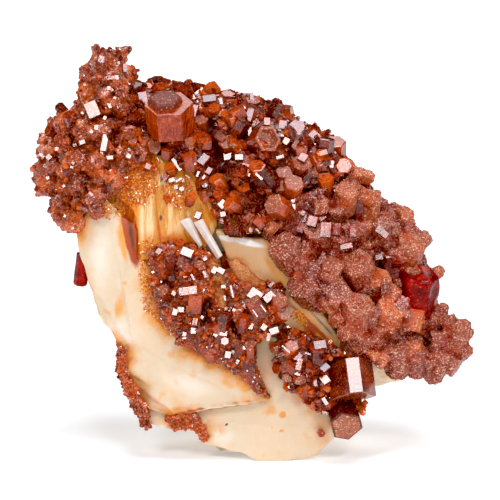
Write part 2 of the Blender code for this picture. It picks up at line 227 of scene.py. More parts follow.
def dress(item: bpy.types.Object, node: str, material: bpy.types.Material) -> bpy.types.Object:
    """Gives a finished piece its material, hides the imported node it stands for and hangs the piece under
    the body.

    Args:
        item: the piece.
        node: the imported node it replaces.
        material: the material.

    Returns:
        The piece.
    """
    item.data.materials.append(material)
    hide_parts(node)
    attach(item, BODY)
    return item


def apply_modifier(item: bpy.types.Object, kind: str, **settings: object) -> None:
    """Adds a modifier and applies it.

    Args:
        item: the object to work on.
        kind: the modifier's type.
        settings: the modifier's own settings.
    """
    only(item)
    made = item.modifiers.new(kind.title(), kind)
    for key, value in settings.items():
        setattr(made, key, value)
    bpy.ops.object.modifier_apply(modifier=made.name)


def node_copy(node: str, name: str) -> bpy.types.Object:
    """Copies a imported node's mesh into a new object and merges its loose triangles.

    Args:
        node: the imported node's name.
        name: the new object's name.

    Returns:
        The new object, with nothing on it but its shape.
    """
    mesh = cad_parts[node].data.copy()
    mesh.name = name
    mesh.materials.clear()
    item = add_object(name, mesh)
    with editing(item):
        bpy.ops.mesh.select_all(action="SELECT")
        bpy.ops.mesh.remove_doubles(threshold=MERGE_GAP * MM)
    return item


def skin(item: bpy.types.Object, voxel: float) -> None:
    """Turns an object into one even, closed skin.

    Args:
        item: the object to work on.
        voxel: the skin's mesh size in millimetres.
    """
    apply_modifier(item, "REMESH", mode="VOXEL", voxel_size=voxel * MM)


def points_of(item: bpy.types.Object) -> np.ndarray:
    """Reads an object's vertices.

    Args:
        item: the object.

    Returns:
        An (n, 3) array in metres.
    """
    flat = np.empty(len(item.data.vertices) * 3, np.float32)
    item.data.vertices.foreach_get("co", flat)
    return flat.reshape(-1, 3).astype(float)


def normals_of(item: bpy.types.Object) -> np.ndarray:
    """Reads an object's vertex normals.

    Args:
        item: the object.

    Returns:
        An (n, 3) array of unit vectors.
    """
    flat = np.empty(len(item.data.vertices) * 3, np.float32)
    item.data.vertex_normals.foreach_get("vector", flat)
    return flat.reshape(-1, 3).astype(float)


def set_points(item: bpy.types.Object, points: np.ndarray) -> None:
    """Moves an object's vertices to new places."""
    item.data.vertices.foreach_set("co", points.astype(np.float32).ravel())
    item.data.update()


def set_mask(item: bpy.types.Object, name: str, values: np.ndarray, domain: str = "POINT") -> None:
    """Stores one number per vertex or face for the finishes to read.

    Args:
        item: the object that carries the mask.
        name: the mask's name.
        values: one number each.
        domain: POINT or FACE.
    """
    mask = item.data.attributes.get(name) or item.data.attributes.new(name, "FLOAT", domain)
    mask.data.foreach_set("value", values.astype(np.float32))


def soften(item: bpy.types.Object, times: int, factor: float = 0.5) -> None:
    """Rounds an object off by averaging its neighbouring points."""
    apply_modifier(item, "SMOOTH", factor=factor, iterations=times)


def relief(item: bpy.types.Object, times: int) -> np.ndarray:
    """Measures how far each point stands out of its surroundings.

    Args:
        item: the object.
        times: how often the surroundings are averaged.

    Returns:
        Heights in millimetres, below 0 in the gaps.
    """
    even = item.copy()
    even.data = item.data.copy()
    bpy.context.scene.collection.objects.link(even)
    soften(even, times, 1.0)
    heights = np.einsum("ij,ij->i", points_of(item) - points_of(even), normals_of(item)) / MM
    bpy.data.objects.remove(even)
    return heights


def lumps(points: np.ndarray, size: float, seed: float = 0.0) -> np.ndarray:
    """Reads smooth noise at points.

    Args:
        points: an (n, 3) array in metres.
        size: the lumps' size in millimetres.
        seed: another number gives other lumps.

    Returns:
        Values from about -1 to 1.
    """
    shift = Vector((seed * 7.1, seed * 3.3, seed * 5.7))
    scale = 1.0 / (size * MM)
    return np.array([noise.noise(Vector(p) * scale + shift) for p in points])


def ease(low: float, high: float, values: np.ndarray) -> np.ndarray:
    """A smooth step from 0 at low to 1 at high."""
    share = np.clip((values - low) / (high - low), 0.0, 1.0)
    return share * share * (3.0 - 2.0 * share)


def tree_of(items: Sequence[bpy.types.Object]) -> BVHTree:
    """Builds one search tree over several objects' faces.

    Args:
        items: the objects.

    Returns:
        The tree, in metres.
    """
    places: list[Vector] = []
    faces: list[tuple[int, ...]] = []
    for item in items:
        start = len(places)
        places.extend(v.co for v in item.data.vertices)
        faces.extend(tuple(start + i for i in p.vertices) for p in item.data.polygons)
    return BVHTree.FromPolygons(places, faces)


def inside(tree: BVHTree, point: Vector) -> bool:
    """Whether a point is under the nearest face of a closed shape."""
    place, normal, _, _ = tree.find_nearest(point)
    return place is not None and (point - place).dot(normal) < 0.0


# ---------------------------------------------------------------------------------------------
# Marks and hollows placed on the board
# ---------------------------------------------------------------------------------------------

@dataclass(frozen=True)
class Patch:
    """A soft-edged oval where a picture shows a column and row, turned anticlockwise by degrees.

    wide and tall are in millimetres.
    """

    col: float
    row: float
    wide: float
    tall: float
    turn: float = 0.0
    strength: float = 1.0
    hardness: float = 0.5

    def cover(self, places: np.ndarray) -> np.ndarray:
        """Works out how much the patch covers each place.

        Args:
            places: an (n, 2) array of board places.

        Returns:
            Values from 0 outside to the patch's strength in its middle.
        """
        turn = math.radians(self.turn)
        rel = places - np.array(VIEW.spot(self.col, self.row))
        along = rel[:, 0] * math.cos(turn) + rel[:, 1] * math.sin(turn)
        aside = -rel[:, 0] * math.sin(turn) + rel[:, 1] * math.cos(turn)
        reach = np.hypot(along / (self.wide / 2), aside / (self.tall / 2))
        return self.strength * (1.0 - ease(self.hardness, 1.0 + (1.0 - self.hardness) * 0.3, reach))


class Tone(Enum):
    """What a mark on the barite gives: real stains and specks, and also painted shade and painted highlights.
    """

    PINK = "pink"
    GOLD = "gold"
    RUST = "rust"
    # dark specks, and painted shade in clefts, gaps and under edges
    DARK_AND_SHADE = "dark_and_shade"
    # pale strips, and painted highlights on lit edges and on shaded undersides
    PALE_AND_HIGHLIGHT = "pale_and_highlight"


@dataclass(frozen=True)
class Mark:
    """A patch of one tone on a barite piece."""

    tone: Tone
    patch: Patch


def dab(tone: Tone, *shape: float) -> Mark:
    """Makes a mark from a patch's column, row, width, height, turn, strength and hardness."""
    return Mark(tone, Patch(*shape))


def streak(tone: Tone, start: tuple[float, float], end: tuple[float, float], wide: float,
           strength: float = 1.0) -> Mark:
    """Draws a mark from one picture place to another.

    Args:
        tone: what it is made of.
        start: the column and row it starts at.
        end: the column and row it ends at.
        wide: its width in millimetres.
        strength: how strong it is.

    Returns:
        The mark.
    """
    run, fall = end[0] - start[0], end[1] - start[1]
    long = math.hypot(run, fall) * VIEW.pixel + wide
    turn = math.degrees(math.atan2(-fall, run))
    middle = (start[0] + end[0]) / 2, (start[1] + end[1]) / 2
    return dab(tone, *middle, long, wide, turn, strength, 0.3)


@dataclass(frozen=True)
class Ledge:
    """A cleavage step across a blade: below the line from start to end the face drops back.

    start and end are picture columns and rows; drop, fade and the lip's two ends are in millimetres.
    """

    start: tuple[float, float]
    end: tuple[float, float]
    drop: float
    fade: float = 1.2
    lip: tuple[float, float] = (-0.12, 0.18)

    def depth(self, places: np.ndarray) -> np.ndarray:
        """Works out how far each place drops back.

        Args:
            places: an (n, 2) array of board places.

        Returns:
            Depths in millimetres.
        """
        start, end = np.array(VIEW.spot(*self.start)), np.array(VIEW.spot(*self.end))
        way = end - start
        length = float(np.hypot(*way))
        way = way / length
        rel = places - start
        along = rel @ way
        below = rel @ np.array((way[1], -way[0]))
        begun = ease(-self.fade, self.fade, along)
        ended = ease(length - self.fade, length + self.fade, along)
        return self.drop * ease(*self.lip, below) * begun * (1.0 - ended)


# ---------------------------------------------------------------------------------------------
# Finishes
# ---------------------------------------------------------------------------------------------

class NodeSheet:
    """A node tree with short calls for laying out its nodes."""

    def __init__(self, tree: bpy.types.NodeTree) -> None:
        """Keeps the tree."""
        self.tree = tree

    def feed(self, node: bpy.types.Node, inputs: dict) -> bpy.types.Node:
        """Sets or links a node's inputs.

        Args:
            node: the node.
            inputs: values, or sockets to link from, by input name or number.

        Returns:
            The node.
        """
        for key, value in inputs.items():
            if isinstance(value, Socket):
                self.tree.links.new(value, node.inputs[key])
            else:
                node.inputs[key].default_value = value
        return node

    def add(self, kind: str, inputs: dict | None = None, **settings: object) -> bpy.types.Node:
        """Adds a node.

        Args:
            kind: the node's type, without its ShaderNode prefix.
            inputs: values, or sockets to link from, by input name or number.
            settings: the node's own settings.

        Returns:
            The new node.
        """
        made = self.tree.nodes.new("ShaderNode" + kind if not kind.startswith("Node") else kind)
        for key, value in settings.items():
            setattr(made, key, value)
        return self.feed(made, inputs or {})

    def sum(self, kind: str, first: object, second: object, clamp: bool = False) -> Socket:
        """Adds a Math node and gives its result."""
        return self.add("Math", {0: first, 1: second}, operation=kind, use_clamp=clamp).outputs[0]

    def mix(self, share: object, low: object, high: object) -> Socket:
        """Adds a colour Mix node.

        Args:
            share: how much of the second colour.
            low: the first colour or socket.
            high: the second colour or socket.

        Returns:
            The mixed colour.
        """
        low, high = (end if isinstance(end, Socket) else (*end, 1.0) for end in (low, high))
        return self.add("Mix", {0: share, 6: low, 7: high}, data_type="RGBA").outputs[2]

    def ramp(self, value: Socket, low: float, high: float) -> Socket:
        """Adds a Map Range node that spreads low to high over 0 to 1."""
        made = self.add("MapRange", {0: value, 1: low, 2: high}, interpolation_type="SMOOTHSTEP")
        return made.outputs[0]

    def mask(self, name: str) -> Socket:
        """Adds an Attribute node and gives its number."""
        return self.add("Attribute", attribute_name=name).outputs["Fac"]

    def place(self) -> Socket:
        """Adds a Texture Coordinate node and gives its Object output."""
        return self.add("TexCoord").outputs["Object"]

    def group(self, group: bpy.types.NodeTree, inputs: dict) -> bpy.types.Node:
        """Adds a node group with its own values.

        Args:
            group: the shader node group.
            inputs: values or sockets by input name.

        Returns:
            The group node.
        """
        return self.feed(self.add("Group", node_tree=group), inputs)


def new_group(name: str, inputs: dict[str, float], outputs: dict[str, str]) -> tuple:
    """Starts a shader node group.

    Args:
        name: the group's name.
        inputs: its number inputs with their starting values.
        outputs: its outputs' names and socket types.

    Returns:
        The group, its sheet, its input node and its output node.
    """
    tree = bpy.data.node_groups.new(name, "ShaderNodeTree")
    tree.interface.new_socket("Place", in_out="INPUT", socket_type="NodeSocketVector")
    for key, value in inputs.items():
        made = tree.interface.new_socket(key, in_out="INPUT", socket_type="NodeSocketFloat")
        made.default_value = value
    for key, kind in outputs.items():
        tree.interface.new_socket(key, in_out="OUTPUT", socket_type=kind)
    sheet = NodeSheet(tree)
    return tree, sheet, sheet.add("NodeGroupInput"), sheet.add("NodeGroupOutput")


@dataclass
class SharedEffects:
    """The surface effects that more than one finish uses, each a shader node group."""

    clouds: bpy.types.NodeTree = field(init=False)
    sparkle: bpy.types.NodeTree = field(init=False)
    creep: bpy.types.NodeTree = field(init=False)

    def __post_init__(self) -> None:
        """Builds the groups."""
        self.clouds = self.build_clouds()
        self.sparkle = self.build_sparkle()
        self.creep = self.build_creep()

    def build_clouds(self) -> bpy.types.NodeTree:
        """Builds the clouding that varies a colour at two sizes.

        Returns:
            A group with a coarse and a fine value.
        """
        values = {"Coarse": 150.0, "Fine": 900.0}
        outs = {"Coarse": "NodeSocketFloat", "Fine": "NodeSocketFloat"}
        tree, sheet, given, out = new_group("clouds", values, outs)
        for key in values:
            cloud = sheet.add("TexNoise", {"Vector": given.outputs["Place"], "Scale": given.outputs[key],
                                           "Detail": 4.0, "Roughness": 0.6})
            tree.links.new(sheet.ramp(cloud.outputs["Fac"], 0.3, 0.7), out.inputs[key])
        return tree

    def build_sparkle(self) -> bpy.types.NodeTree:
        """Builds the tiny tilted facets of a druse.

        Returns:
            A group with a normal and a value that differs from facet to facet.
        """
        tree, sheet, given, out = new_group(
            "sparkle", {"Scale": 3500.0, "Tilt": 0.8},
            {"Normal": "NodeSocketVector", "Facet": "NodeSocketFloat"})
        cell = sheet.add("TexVoronoi", {"Vector": given.outputs["Place"], "Scale": given.outputs["Scale"]})
        centred = sheet.add("VectorMath", {0: cell.outputs["Color"], 1: (0.5, 0.5, 0.5)},
                            operation="SUBTRACT")
        tilted = sheet.add("VectorMath", {0: centred.outputs[0], "Scale": given.outputs["Tilt"]},
                           operation="SCALE")
        normal = sheet.add("NewGeometry").outputs["Normal"]
        leaned = sheet.add("VectorMath", {0: tilted.outputs[0], 1: normal}, operation="ADD")
        unit = sheet.add("VectorMath", {0: leaned.outputs[0]}, operation="NORMALIZE")
        parts = sheet.add("SeparateColor", {0: cell.outputs["Color"]})
        tree.links.new(unit.outputs[0], out.inputs["Normal"])
        tree.links.new(parts.outputs[0], out.inputs["Facet"])
        return tree

    def build_creep(self) -> bpy.types.NodeTree:
        """Builds the ragged edge that a stain has where it creeps into a face.

        Returns:
            A group that sharpens and breaks up a soft mask.
        """
        tree, sheet, given, out = new_group(
            "creep", {"Mask": 0.0, "Scale": 700.0, "Break": 0.6}, {"Mask": "NodeSocketFloat"})
        cloud = sheet.add("TexNoise", {"Vector": given.outputs["Place"], "Scale": given.outputs["Scale"],
                                       "Detail": 6.0, "Roughness": 0.65})
        lean = sheet.sum("MULTIPLY", sheet.sum("SUBTRACT", cloud.outputs["Fac"], 0.5), given.outputs["Break"])
        edge = sheet.sum("ADD", given.outputs["Mask"], lean)
        shown = sheet.sum("MULTIPLY", sheet.ramp(edge, 0.05, 0.95),
                          sheet.ramp(given.outputs["Mask"], 0.0, 0.15))
        tree.links.new(shown, out.inputs["Mask"])
        return tree


def shared_material(finish: "BariteFinish | VanadiniteFinish", effects: SharedEffects) -> bpy.types.Material:
    """Gives a finish's material, which is built the first time it is asked for.

    Args:
        finish: the finish.
        effects: the shared node groups.

    Returns:
        The material.
    """
    return bpy.data.materials.get(finish.name) or finish.material(effects)


def new_material(name: str) -> tuple[bpy.types.Material, NodeSheet, bpy.types.Node]:
    """Starts a material.

    Args:
        name: the material's name.

    Returns:
        The material, its sheet and its Principled node.
    """
    material = bpy.data.materials.new(name)
    material.use_nodes = True
    shader = next(n for n in material.node_tree.nodes if n.type == "BSDF_PRINCIPLED")
    return material, NodeSheet(material.node_tree), shader


@dataclass(frozen=True)
class BariteFinish:
    """Milky barite: cream with peach clouds, stains, painted shade and highlights, and fine cleavage lines.
    """

    name: str
    cream: Colour = (0.655, 0.54, 0.39)
    peach: Colour = (0.76, 0.52, 0.31)
    gold: Colour = (0.72, 0.30, 0.05)
    rust: Colour = (0.38, 0.055, 0.004)
    # dark specks, and the colour of the painted shade in clefts, gaps and under edges
    dark_and_shade: Colour = (0.10, 0.022, 0.005)
    # pale strips, and the colour of painted highlights on lit edges and shaded undersides
    pale_and_highlight: Colour = (0.84, 0.77, 0.69)
    pink: Colour = (0.74, 0.42, 0.28)
    peach_share: float = 0.4
    gold_share: float = 0.12
    coarse: float = 130.0
    fine: float = 700.0
    roughness: float = 0.42
    unevenness: float = 0.18
    ior: float = 1.63
    glow: float = 0.25
    glow_reach: float = 1.4
    line_spacing: float = 0.5
    line_height: float = 0.12
    line_stretch: tuple[float, float, float] = (0.15, 1.0, 1.0)
    streaks: float = 0.0
    streak_scale: float = 1100.0

    def stained(self, sheet: NodeSheet, effects: SharedEffects, place: Socket, colour: Socket) -> Socket:
        """Lays the stains, the painted shade and the painted highlights over the barite's own colour.

        Args:
            sheet: the material's sheet.
            effects: the shared node groups.
            place: the point on the piece.
            colour: the clean colour.

        Returns:
            The stained colour, with its painted shade and highlights.
        """
        # pink marks, partly painted shade, and pale marks, partly painted highlights
        for tone, tint in ((Tone.PINK, self.pink), (Tone.PALE_AND_HIGHLIGHT, self.pale_and_highlight)):
            colour = sheet.mix(sheet.mask(tone.value), colour, tint)
        # gold and rust stains, and dark marks: specks and painted shade
        for tone, tint, scale, ragged in ((Tone.GOLD, self.gold, 420.0, 1.3),
                                          (Tone.RUST, self.rust, 900.0, 1.4),
                                          (Tone.DARK_AND_SHADE, self.dark_and_shade, 1200.0, 0.6)):
            inputs = {"Place": place, "Mask": sheet.mask(tone.value), "Scale": scale, "Break": ragged}
            colour = sheet.mix(sheet.group(effects.creep, inputs).outputs[0], colour, tint)
        return colour

    def material(self, effects: SharedEffects) -> bpy.types.Material:
        """Builds the material.

        Args:
            effects: the shared node groups.

        Returns:
            The material.
        """
        material, sheet, shader = new_material(self.name)
        place = sheet.place()
        cloud = sheet.group(effects.clouds, {"Place": place, "Coarse": self.coarse, "Fine": self.fine})
        share = sheet.sum("MULTIPLY", cloud.outputs["Coarse"], self.peach_share)
        colour = sheet.mix(share, self.cream, self.peach)
        share = sheet.sum("MULTIPLY", cloud.outputs["Fine"], self.gold_share)
        colour = sheet.mix(share, colour, self.gold)
        stretched = sheet.add("Mapping", {"Vector": place, "Scale": self.line_stretch})
        if self.streaks:
            bands = sheet.add("TexNoise", {"Vector": stretched.outputs[0], "Scale": self.streak_scale,
                                           "Detail": 2.0})
            for low, high, tint in ((0.50, 0.62, self.pale_and_highlight), (0.46, 0.34, self.peach)):
                share = sheet.sum("MULTIPLY", sheet.ramp(bands.outputs["Fac"], low, high), self.streaks)
                colour = sheet.mix(share, colour, tint)
        colour = self.stained(sheet, effects, place, colour)
        rough = sheet.add("MapRange", {0: cloud.outputs["Fine"], 3: self.roughness,
                                       4: self.roughness + self.unevenness})
        lines = sheet.add("TexNoise", {"Vector": stretched.outputs[0], "Detail": 5.0, "Roughness": 0.7,
                                       "Scale": 1.0 / (self.line_spacing * MM)})
        grain = sheet.sum("ADD", lines.outputs["Fac"], sheet.sum("MULTIPLY", cloud.outputs["Fine"], 0.5))
        bump = sheet.add("Bump", {"Height": grain, "Strength": 0.5, "Distance": self.line_height * MM})
        sheet.feed(shader, {
            "Base Color": colour, "Roughness": rough.outputs[0], "Normal": bump.outputs[0],
            "IOR": self.ior, "Subsurface Weight": self.glow, "Subsurface Radius": (1.0, 0.6, 0.35),
            "Subsurface Scale": self.glow_reach * MM})
        return material


@dataclass(frozen=True)
class VanadiniteFinish:
    """Glassy to frosted vanadinite: brown on worn ends, with painted shade that turns it deep red toward the
    root and in the gaps.
    """

    name: str
    deep: Colour = (0.060, 0.0022, 0.0005)
    middle: Colour = (0.30, 0.027, 0.0025)
    bright: Colour = (0.62, 0.100, 0.009)
    cap: Colour = (0.26, 0.062, 0.028)
    coat: Colour = (0.33, 0.088, 0.048)
    warm_coat: Colour = (0.60, 0.165, 0.052)
    # pale flecks: tan specks and painted glints of the druse's tiny faces
    pale_fleck_and_glint: Colour = (0.80, 0.42, 0.26)
    flecks: float = 0.08
    unrest: float = 0.5
    grain: float = 0.35
    dustiness: float = 0.15
    roughness: float = 0.07
    frost: float = 0.35
    sparkle_scale: float = 7000.0
    sparkle_tilt: float = 0.05
    coarse: float = 450.0
    fine: float = 2600.0
    ior: float = 1.6
    glow: float = 0.15
    glow_reach: float = 0.5
    sheen: float = 0.5
    line_stretch: tuple[float, float, float] = (1.0, 1.0, 1.0)
    line_scale: float = 3500.0
    line_height: float = 0.02
    line_tint: float = 0.0

    def tinted(self, sheet: NodeSheet, cloud: bpy.types.Node, lines: Socket) -> Socket:
        """Mixes the crystal's own red from its tint, and darkens it toward the root and in the gaps with
        painted shade.

        Args:
            sheet: the material's sheet.
            cloud: the clouding's node.
            lines: the fine growth lines.

        Returns:
            The colour.
        """
        coarse = sheet.sum("MULTIPLY", sheet.sum("SUBTRACT", cloud.outputs["Coarse"], 0.5), self.unrest)
        fine = sheet.sum("MULTIPLY", sheet.sum("SUBTRACT", cloud.outputs["Fine"], 0.5), self.grain)
        unrest = sheet.sum("ADD", coarse, fine)
        streaks = sheet.sum("MULTIPLY", sheet.sum("SUBTRACT", lines, 0.5), self.line_tint)
        tint = sheet.sum("ADD", sheet.mask("tint"), sheet.sum("ADD", unrest, streaks))
        colour = sheet.mix(sheet.ramp(tint, 0.0, 0.5), self.deep, self.middle)
        colour = sheet.mix(sheet.ramp(tint, 0.45, 1.0), colour, self.bright)
        # painted shade: the deep colour where the mask is low, toward roots, gaps and hollows
        return sheet.mix(sheet.ramp(sheet.mask("unshaded"), -0.3, 0.7), self.deep, colour)

    def flecked(self, sheet: NodeSheet, facet: Socket, coated: Socket, colour: Socket) -> Socket:
        """Strews pale and dark flecks over the crystal, most of them where it is coated; the pale ones are
        partly tan specks and partly painted glints of the druse's tiny faces.

        Args:
            sheet: the material's sheet.
            facet: a number that differs from fleck to fleck.
            coated: how much coat there is.
            colour: the crystal's colour.

        Returns:
            The flecked colour.
        """
        share = sheet.sum("ADD", sheet.sum("MULTIPLY", coated, 0.8), 0.2, clamp=True)
        # pale flecks: tan specks, and painted glints standing for the druse's sparkle
        pale = sheet.sum("MULTIPLY", sheet.ramp(facet, 1.0 - self.flecks, 1.0 - 0.5 * self.flecks), share)
        dark = sheet.sum("MULTIPLY", sheet.ramp(facet, 0.22, 0.0), sheet.sum("MULTIPLY", share, 0.6))
        return sheet.mix(pale, sheet.mix(dark, colour, self.deep), self.pale_fleck_and_glint)

    def material(self, effects: SharedEffects) -> bpy.types.Material:
        """Builds the material.

        Args:
            effects: the shared node groups.

        Returns:
            The material.
        """
        material, sheet, shader = new_material(self.name)
        place = sheet.place()
        cloud = sheet.group(effects.clouds, {"Place": place, "Coarse": self.coarse, "Fine": self.fine})
        mottled = sheet.add("MapRange", {0: cloud.outputs["Fine"], 3: 0.5, 4: 1.0}).outputs[0]
        stretched = sheet.add("Mapping", {"Vector": place, "Scale": self.line_stretch})
        lines = sheet.add("TexNoise", {"Vector": stretched.outputs[0], "Detail": 3.0,
                                       "Scale": self.line_scale})
        worn = sheet.sum("MULTIPLY", sheet.mask("cap"), mottled)
        coated = sheet.sum("MULTIPLY", sheet.mask("coat"), mottled)
        dull = sheet.sum("MAXIMUM", worn, coated)
        tilt = sheet.sum("MULTIPLY", sheet.sum("ADD", dull, 0.1), self.sparkle_tilt)
        facets = sheet.group(effects.sparkle, {"Place": place, "Scale": self.sparkle_scale, "Tilt": tilt})
        coat = sheet.mix(sheet.ramp(sheet.mask("tint"), 0.35, 1.0), self.coat, self.warm_coat)
        dusty = sheet.sum("MULTIPLY", cloud.outputs["Fine"], self.dustiness)
        colour = sheet.mix(worn, self.tinted(sheet, cloud, lines.outputs["Fac"]), self.cap)
        colour = sheet.mix(dusty, sheet.mix(coated, colour, coat), coat)
        colour = self.flecked(sheet, facets.outputs["Facet"], dull, colour)
        dull = sheet.sum("MAXIMUM", dull, sheet.sum("MULTIPLY", cloud.outputs["Fine"], 0.2))
        rough = sheet.add("MapRange", {0: dull, 3: self.roughness, 4: self.roughness + self.frost})
        bump = sheet.add("Bump", {"Height": lines.outputs["Fac"], "Strength": 0.4,
                                  "Distance": self.line_height * MM, "Normal": facets.outputs["Normal"]})
        sheet.feed(shader, {
            "Base Color": colour, "Roughness": rough.outputs[0], "Normal": bump.outputs[0],
            "IOR": self.ior, "Specular IOR Level": self.sheen, "Subsurface Weight": self.glow,
            "Subsurface Radius": (1.0, 0.12, 0.03), "Subsurface Scale": self.glow_reach * MM})
        return material


# ---------------------------------------------------------------------------------------------
# Crystals
# ---------------------------------------------------------------------------------------------

class Shape(Enum):
    """The forms a crystal is modelled in, each once."""

    BLOCK = "block"
    STEPPED = "stepped"
    HOPPER = "hopper"
    WEDGE = "wedge"
    TWIN = "twin"
    SHARD = "shard"
    SLAB = "slab"
    GRAIN = "grain"


@dataclass
class Pattern:
    """One modelled crystal as arrays: radius 1, from 0 to 1 along z."""

    points: np.ndarray
    faces: list[tuple[int, ...]]
    caps: np.ndarray


@dataclass
class PatternBench:
    """Models each crystal form once, from a six-sided cylinder."""

    patterns: dict[Shape, Pattern] = field(default_factory=dict)

    def blank(self, top: float = 1.0, sides: int = 6, bottom: float = 1.0) -> bpy.types.Object:
        """Adds a prism with flat sides front and back.

        Args:
            top: the radius at the top end.
            sides: how many sides it has.
            bottom: the radius at the root end.

        Returns:
            The prism, standing on the origin.
        """
        bpy.ops.object.select_all(action="DESELECT")
        bpy.ops.mesh.primitive_cone_add(vertices=sides, radius1=bottom, radius2=top, depth=1.0,
                                        location=(0.0, 0.0, 0.5), rotation=(0.0, 0.0, math.pi / sides))
        bpy.ops.object.transform_apply(location=True, rotation=True, scale=True)
        return bpy.context.active_object

    def pick_top(self, item: bpy.types.Object) -> None:
        """Selects the innermost level face of the upper end in edit mode.

        Args:
            item: the prism.
        """
        shape = bmesh.from_edit_mesh(item.data)
        for face in shape.faces:
            face.select_set(False)
        level = [f for f in shape.faces if abs(f.normal.z) > 0.99 and f.calc_center_median().z > 0.5]
        min(level, key=lambda f: (-len(f.verts), f.calc_area())).select_set(True)
        shape.select_flush_mode()
        bmesh.update_edit_mesh(item.data)

    def crown(self, item: bpy.types.Object, steps: Sequence[tuple[float, ...]]) -> None:
        """Insets the top face again and again, moving it each time.

        Args:
            item: the prism.
            steps: each step's inset and rise, and where it has them its moves sideways and back.
        """
        with editing(item):
            for inset, rise, *shift in steps:
                self.pick_top(item)
                bpy.ops.mesh.inset(thickness=inset, use_boundary=True)
                bpy.ops.transform.translate(value=(*(shift or (0.0, 0.0)), rise))

    def slice_end(self, item: bpy.types.Object, middle: Vector, way: Vector) -> None:
        """Cuts the upper end off along a slanting plane and closes the cut.

        Args:
            item: the prism.
            middle: a point of the plane.
            way: the plane's outward direction.
        """
        with editing(item):
            bpy.ops.mesh.select_all(action="SELECT")
            bpy.ops.mesh.bisect(plane_co=middle, plane_no=way, use_fill=True, clear_outer=True)

    def take(self, item: bpy.types.Object, shape: Shape, floor: float = 0.6) -> None:
        """Reads a modelled crystal off into a pattern and removes it.

        Args:
            item: the modelled crystal.
            shape: the form it stands for.
            floor: level faces above this height are the crystal's end.
        """
        faces = [tuple(p.vertices) for p in item.data.polygons]
        caps = np.array([float(p.normal.z > 0.6 and p.center.z > floor) for p in item.data.polygons])
        self.patterns[shape] = Pattern(points_of(item), faces, caps)
        bpy.data.objects.remove(item)

    def build(self) -> dict[Shape, Pattern]:
        """Models every form.

        Returns:
            The patterns by form.
        """
        for shape, top, steps in ((Shape.BLOCK, 1.0, ((0.07, 0.03),)),
                                  (Shape.STEPPED, 0.97, ((0.04, 0.02), (0.20, 0.01), (0.02, 0.07))),
                                  (Shape.HOPPER, 0.98, ((0.04, 0.02), (0.16, 0.0), (0.16, -0.20))),
                                  (Shape.WEDGE, 0.9, ((0.30, 0.22),))):
            prism = self.blank(top)
            self.crown(prism, steps)
            self.take(prism, shape)
        shard = self.blank()
        self.slice_end(shard, Vector((0.0, 0.0, 0.72)), Vector((0.45, 0.25, 0.86)))
        self.take(shard, Shape.SHARD, floor=0.5)
        slab = self.blank()
        self.widen_front(slab)
        self.crown(slab, [(0.06, 0.03)])
        self.take(slab, Shape.SLAB)
        self.take(self.twin(), Shape.TWIN)
        self.take(self.blank(0.72, sides=4), Shape.GRAIN)
        return self.patterns

    def widen_front(self, item: bpy.types.Object) -> None:
        """Makes the front and back faces wide, and brings them nearer together.

        Args:
            item: the prism.
        """
        with editing(item):
            shape = bmesh.from_edit_mesh(item.data)
            for vert in shape.verts:
                vert.select_set(abs(vert.co.y) > 0.5)
            shape.select_flush_mode()
            bmesh.update_edit_mesh(item.data)
            bpy.ops.transform.resize(value=(SLAB_WIDTH, 1.0, 1.0), center_override=(0.0, 0.0, 0.0))
            bpy.ops.mesh.select_all(action="SELECT")
            bpy.ops.transform.resize(value=(1.0, SLAB_DEPTH, 1.0), center_override=(0.0, 0.0, 0.0))

    def twin(self) -> bpy.types.Object:
        """Models two prisms grown into each other side by side.

        Returns:
            The joined pair.
        """
        large, small = self.blank(), self.blank()
        self.crown(large, [(0.06, 0.03)])
        self.crown(small, [(0.08, 0.03)])
        only(small)
        small.scale = (0.62, 0.62, 0.8)
        small.location = (0.72, 0.35, 0.0)
        bpy.ops.object.transform_apply(location=True, scale=True)
        large.select_set(True)
        bpy.context.view_layer.objects.active = large
        bpy.ops.object.join()
        return large


@dataclass(frozen=True)
class Placed:
    """A listed crystal, set where a picture shows its end, or its front side when it lies on_side.

    col and row are picture places; radius, length and out are in millimetres, angles in degrees.
    heading is the way its axis points in the picture, 0 to the right and 90 up; rise is how far the
    axis leans out of the picture, 90 end-on. out is how far the shown face stands off the ground. A
    crystal with a lamp turns the shown face so that it mirrors that lamp to the viewer.
    """

    col: float
    row: float
    radius: float
    length: float
    heading: float = 90.0
    rise: float = 40.0
    tint: float = 0.5
    out: float = 0.7
    shape: Shape = Shape.BLOCK
    lamp: Lamp | None = None
    on_side: bool = False
    roll: float = 0.0
    worn: float = 0.0

    def flat(self) -> Vector:
        """The heading as a direction in the board."""
        heading = math.radians(self.heading)
        return VIEW.right * math.cos(heading) + VIEW.up * math.sin(heading)

    def axes(self) -> Matrix:
        """Works out the crystal's own axes.

        Returns:
            A rotation whose columns are its side, the way away from its front side, and its axis.
        """
        if self.lamp and self.on_side:
            front = self.lamp.glint
            axis = (self.flat() - front * front.dot(self.flat())).normalized()
        elif self.lamp:
            axis = self.lamp.glint
            front = (self.flat() - axis * axis.dot(self.flat())).normalized()
        else:
            rise = math.radians(self.rise)
            axis = self.flat() * math.cos(rise) + VIEW.toward * math.sin(rise)
            front = VIEW.toward if self.rise < 75.0 else VIEW.up
            front = (front - axis * front.dot(axis)).normalized()
        front.rotate(Matrix.Rotation(math.radians(self.roll), 3, axis))
        return Matrix((axis.cross(front), -front, axis)).transposed()

    def base(self, shown: Vector, axes: Matrix) -> Vector:
        """Finds the middle of the root end.

        Args:
            shown: where the shown face's middle is, in metres.
            axes: the crystal's own axes.

        Returns:
            The root end's middle in metres.
        """
        if not self.on_side:
            return shown - axes.col[2] * self.length * MM
        return shown + (axes.col[1] * self.radius * SLAB_DEPTH - axes.col[2] * self.length * 0.5) * MM

    def reach(self) -> float:
        """How far the crystal covers the picture round its place, in millimetres."""
        return max(self.radius, 0.5 * self.length) if self.on_side else self.radius


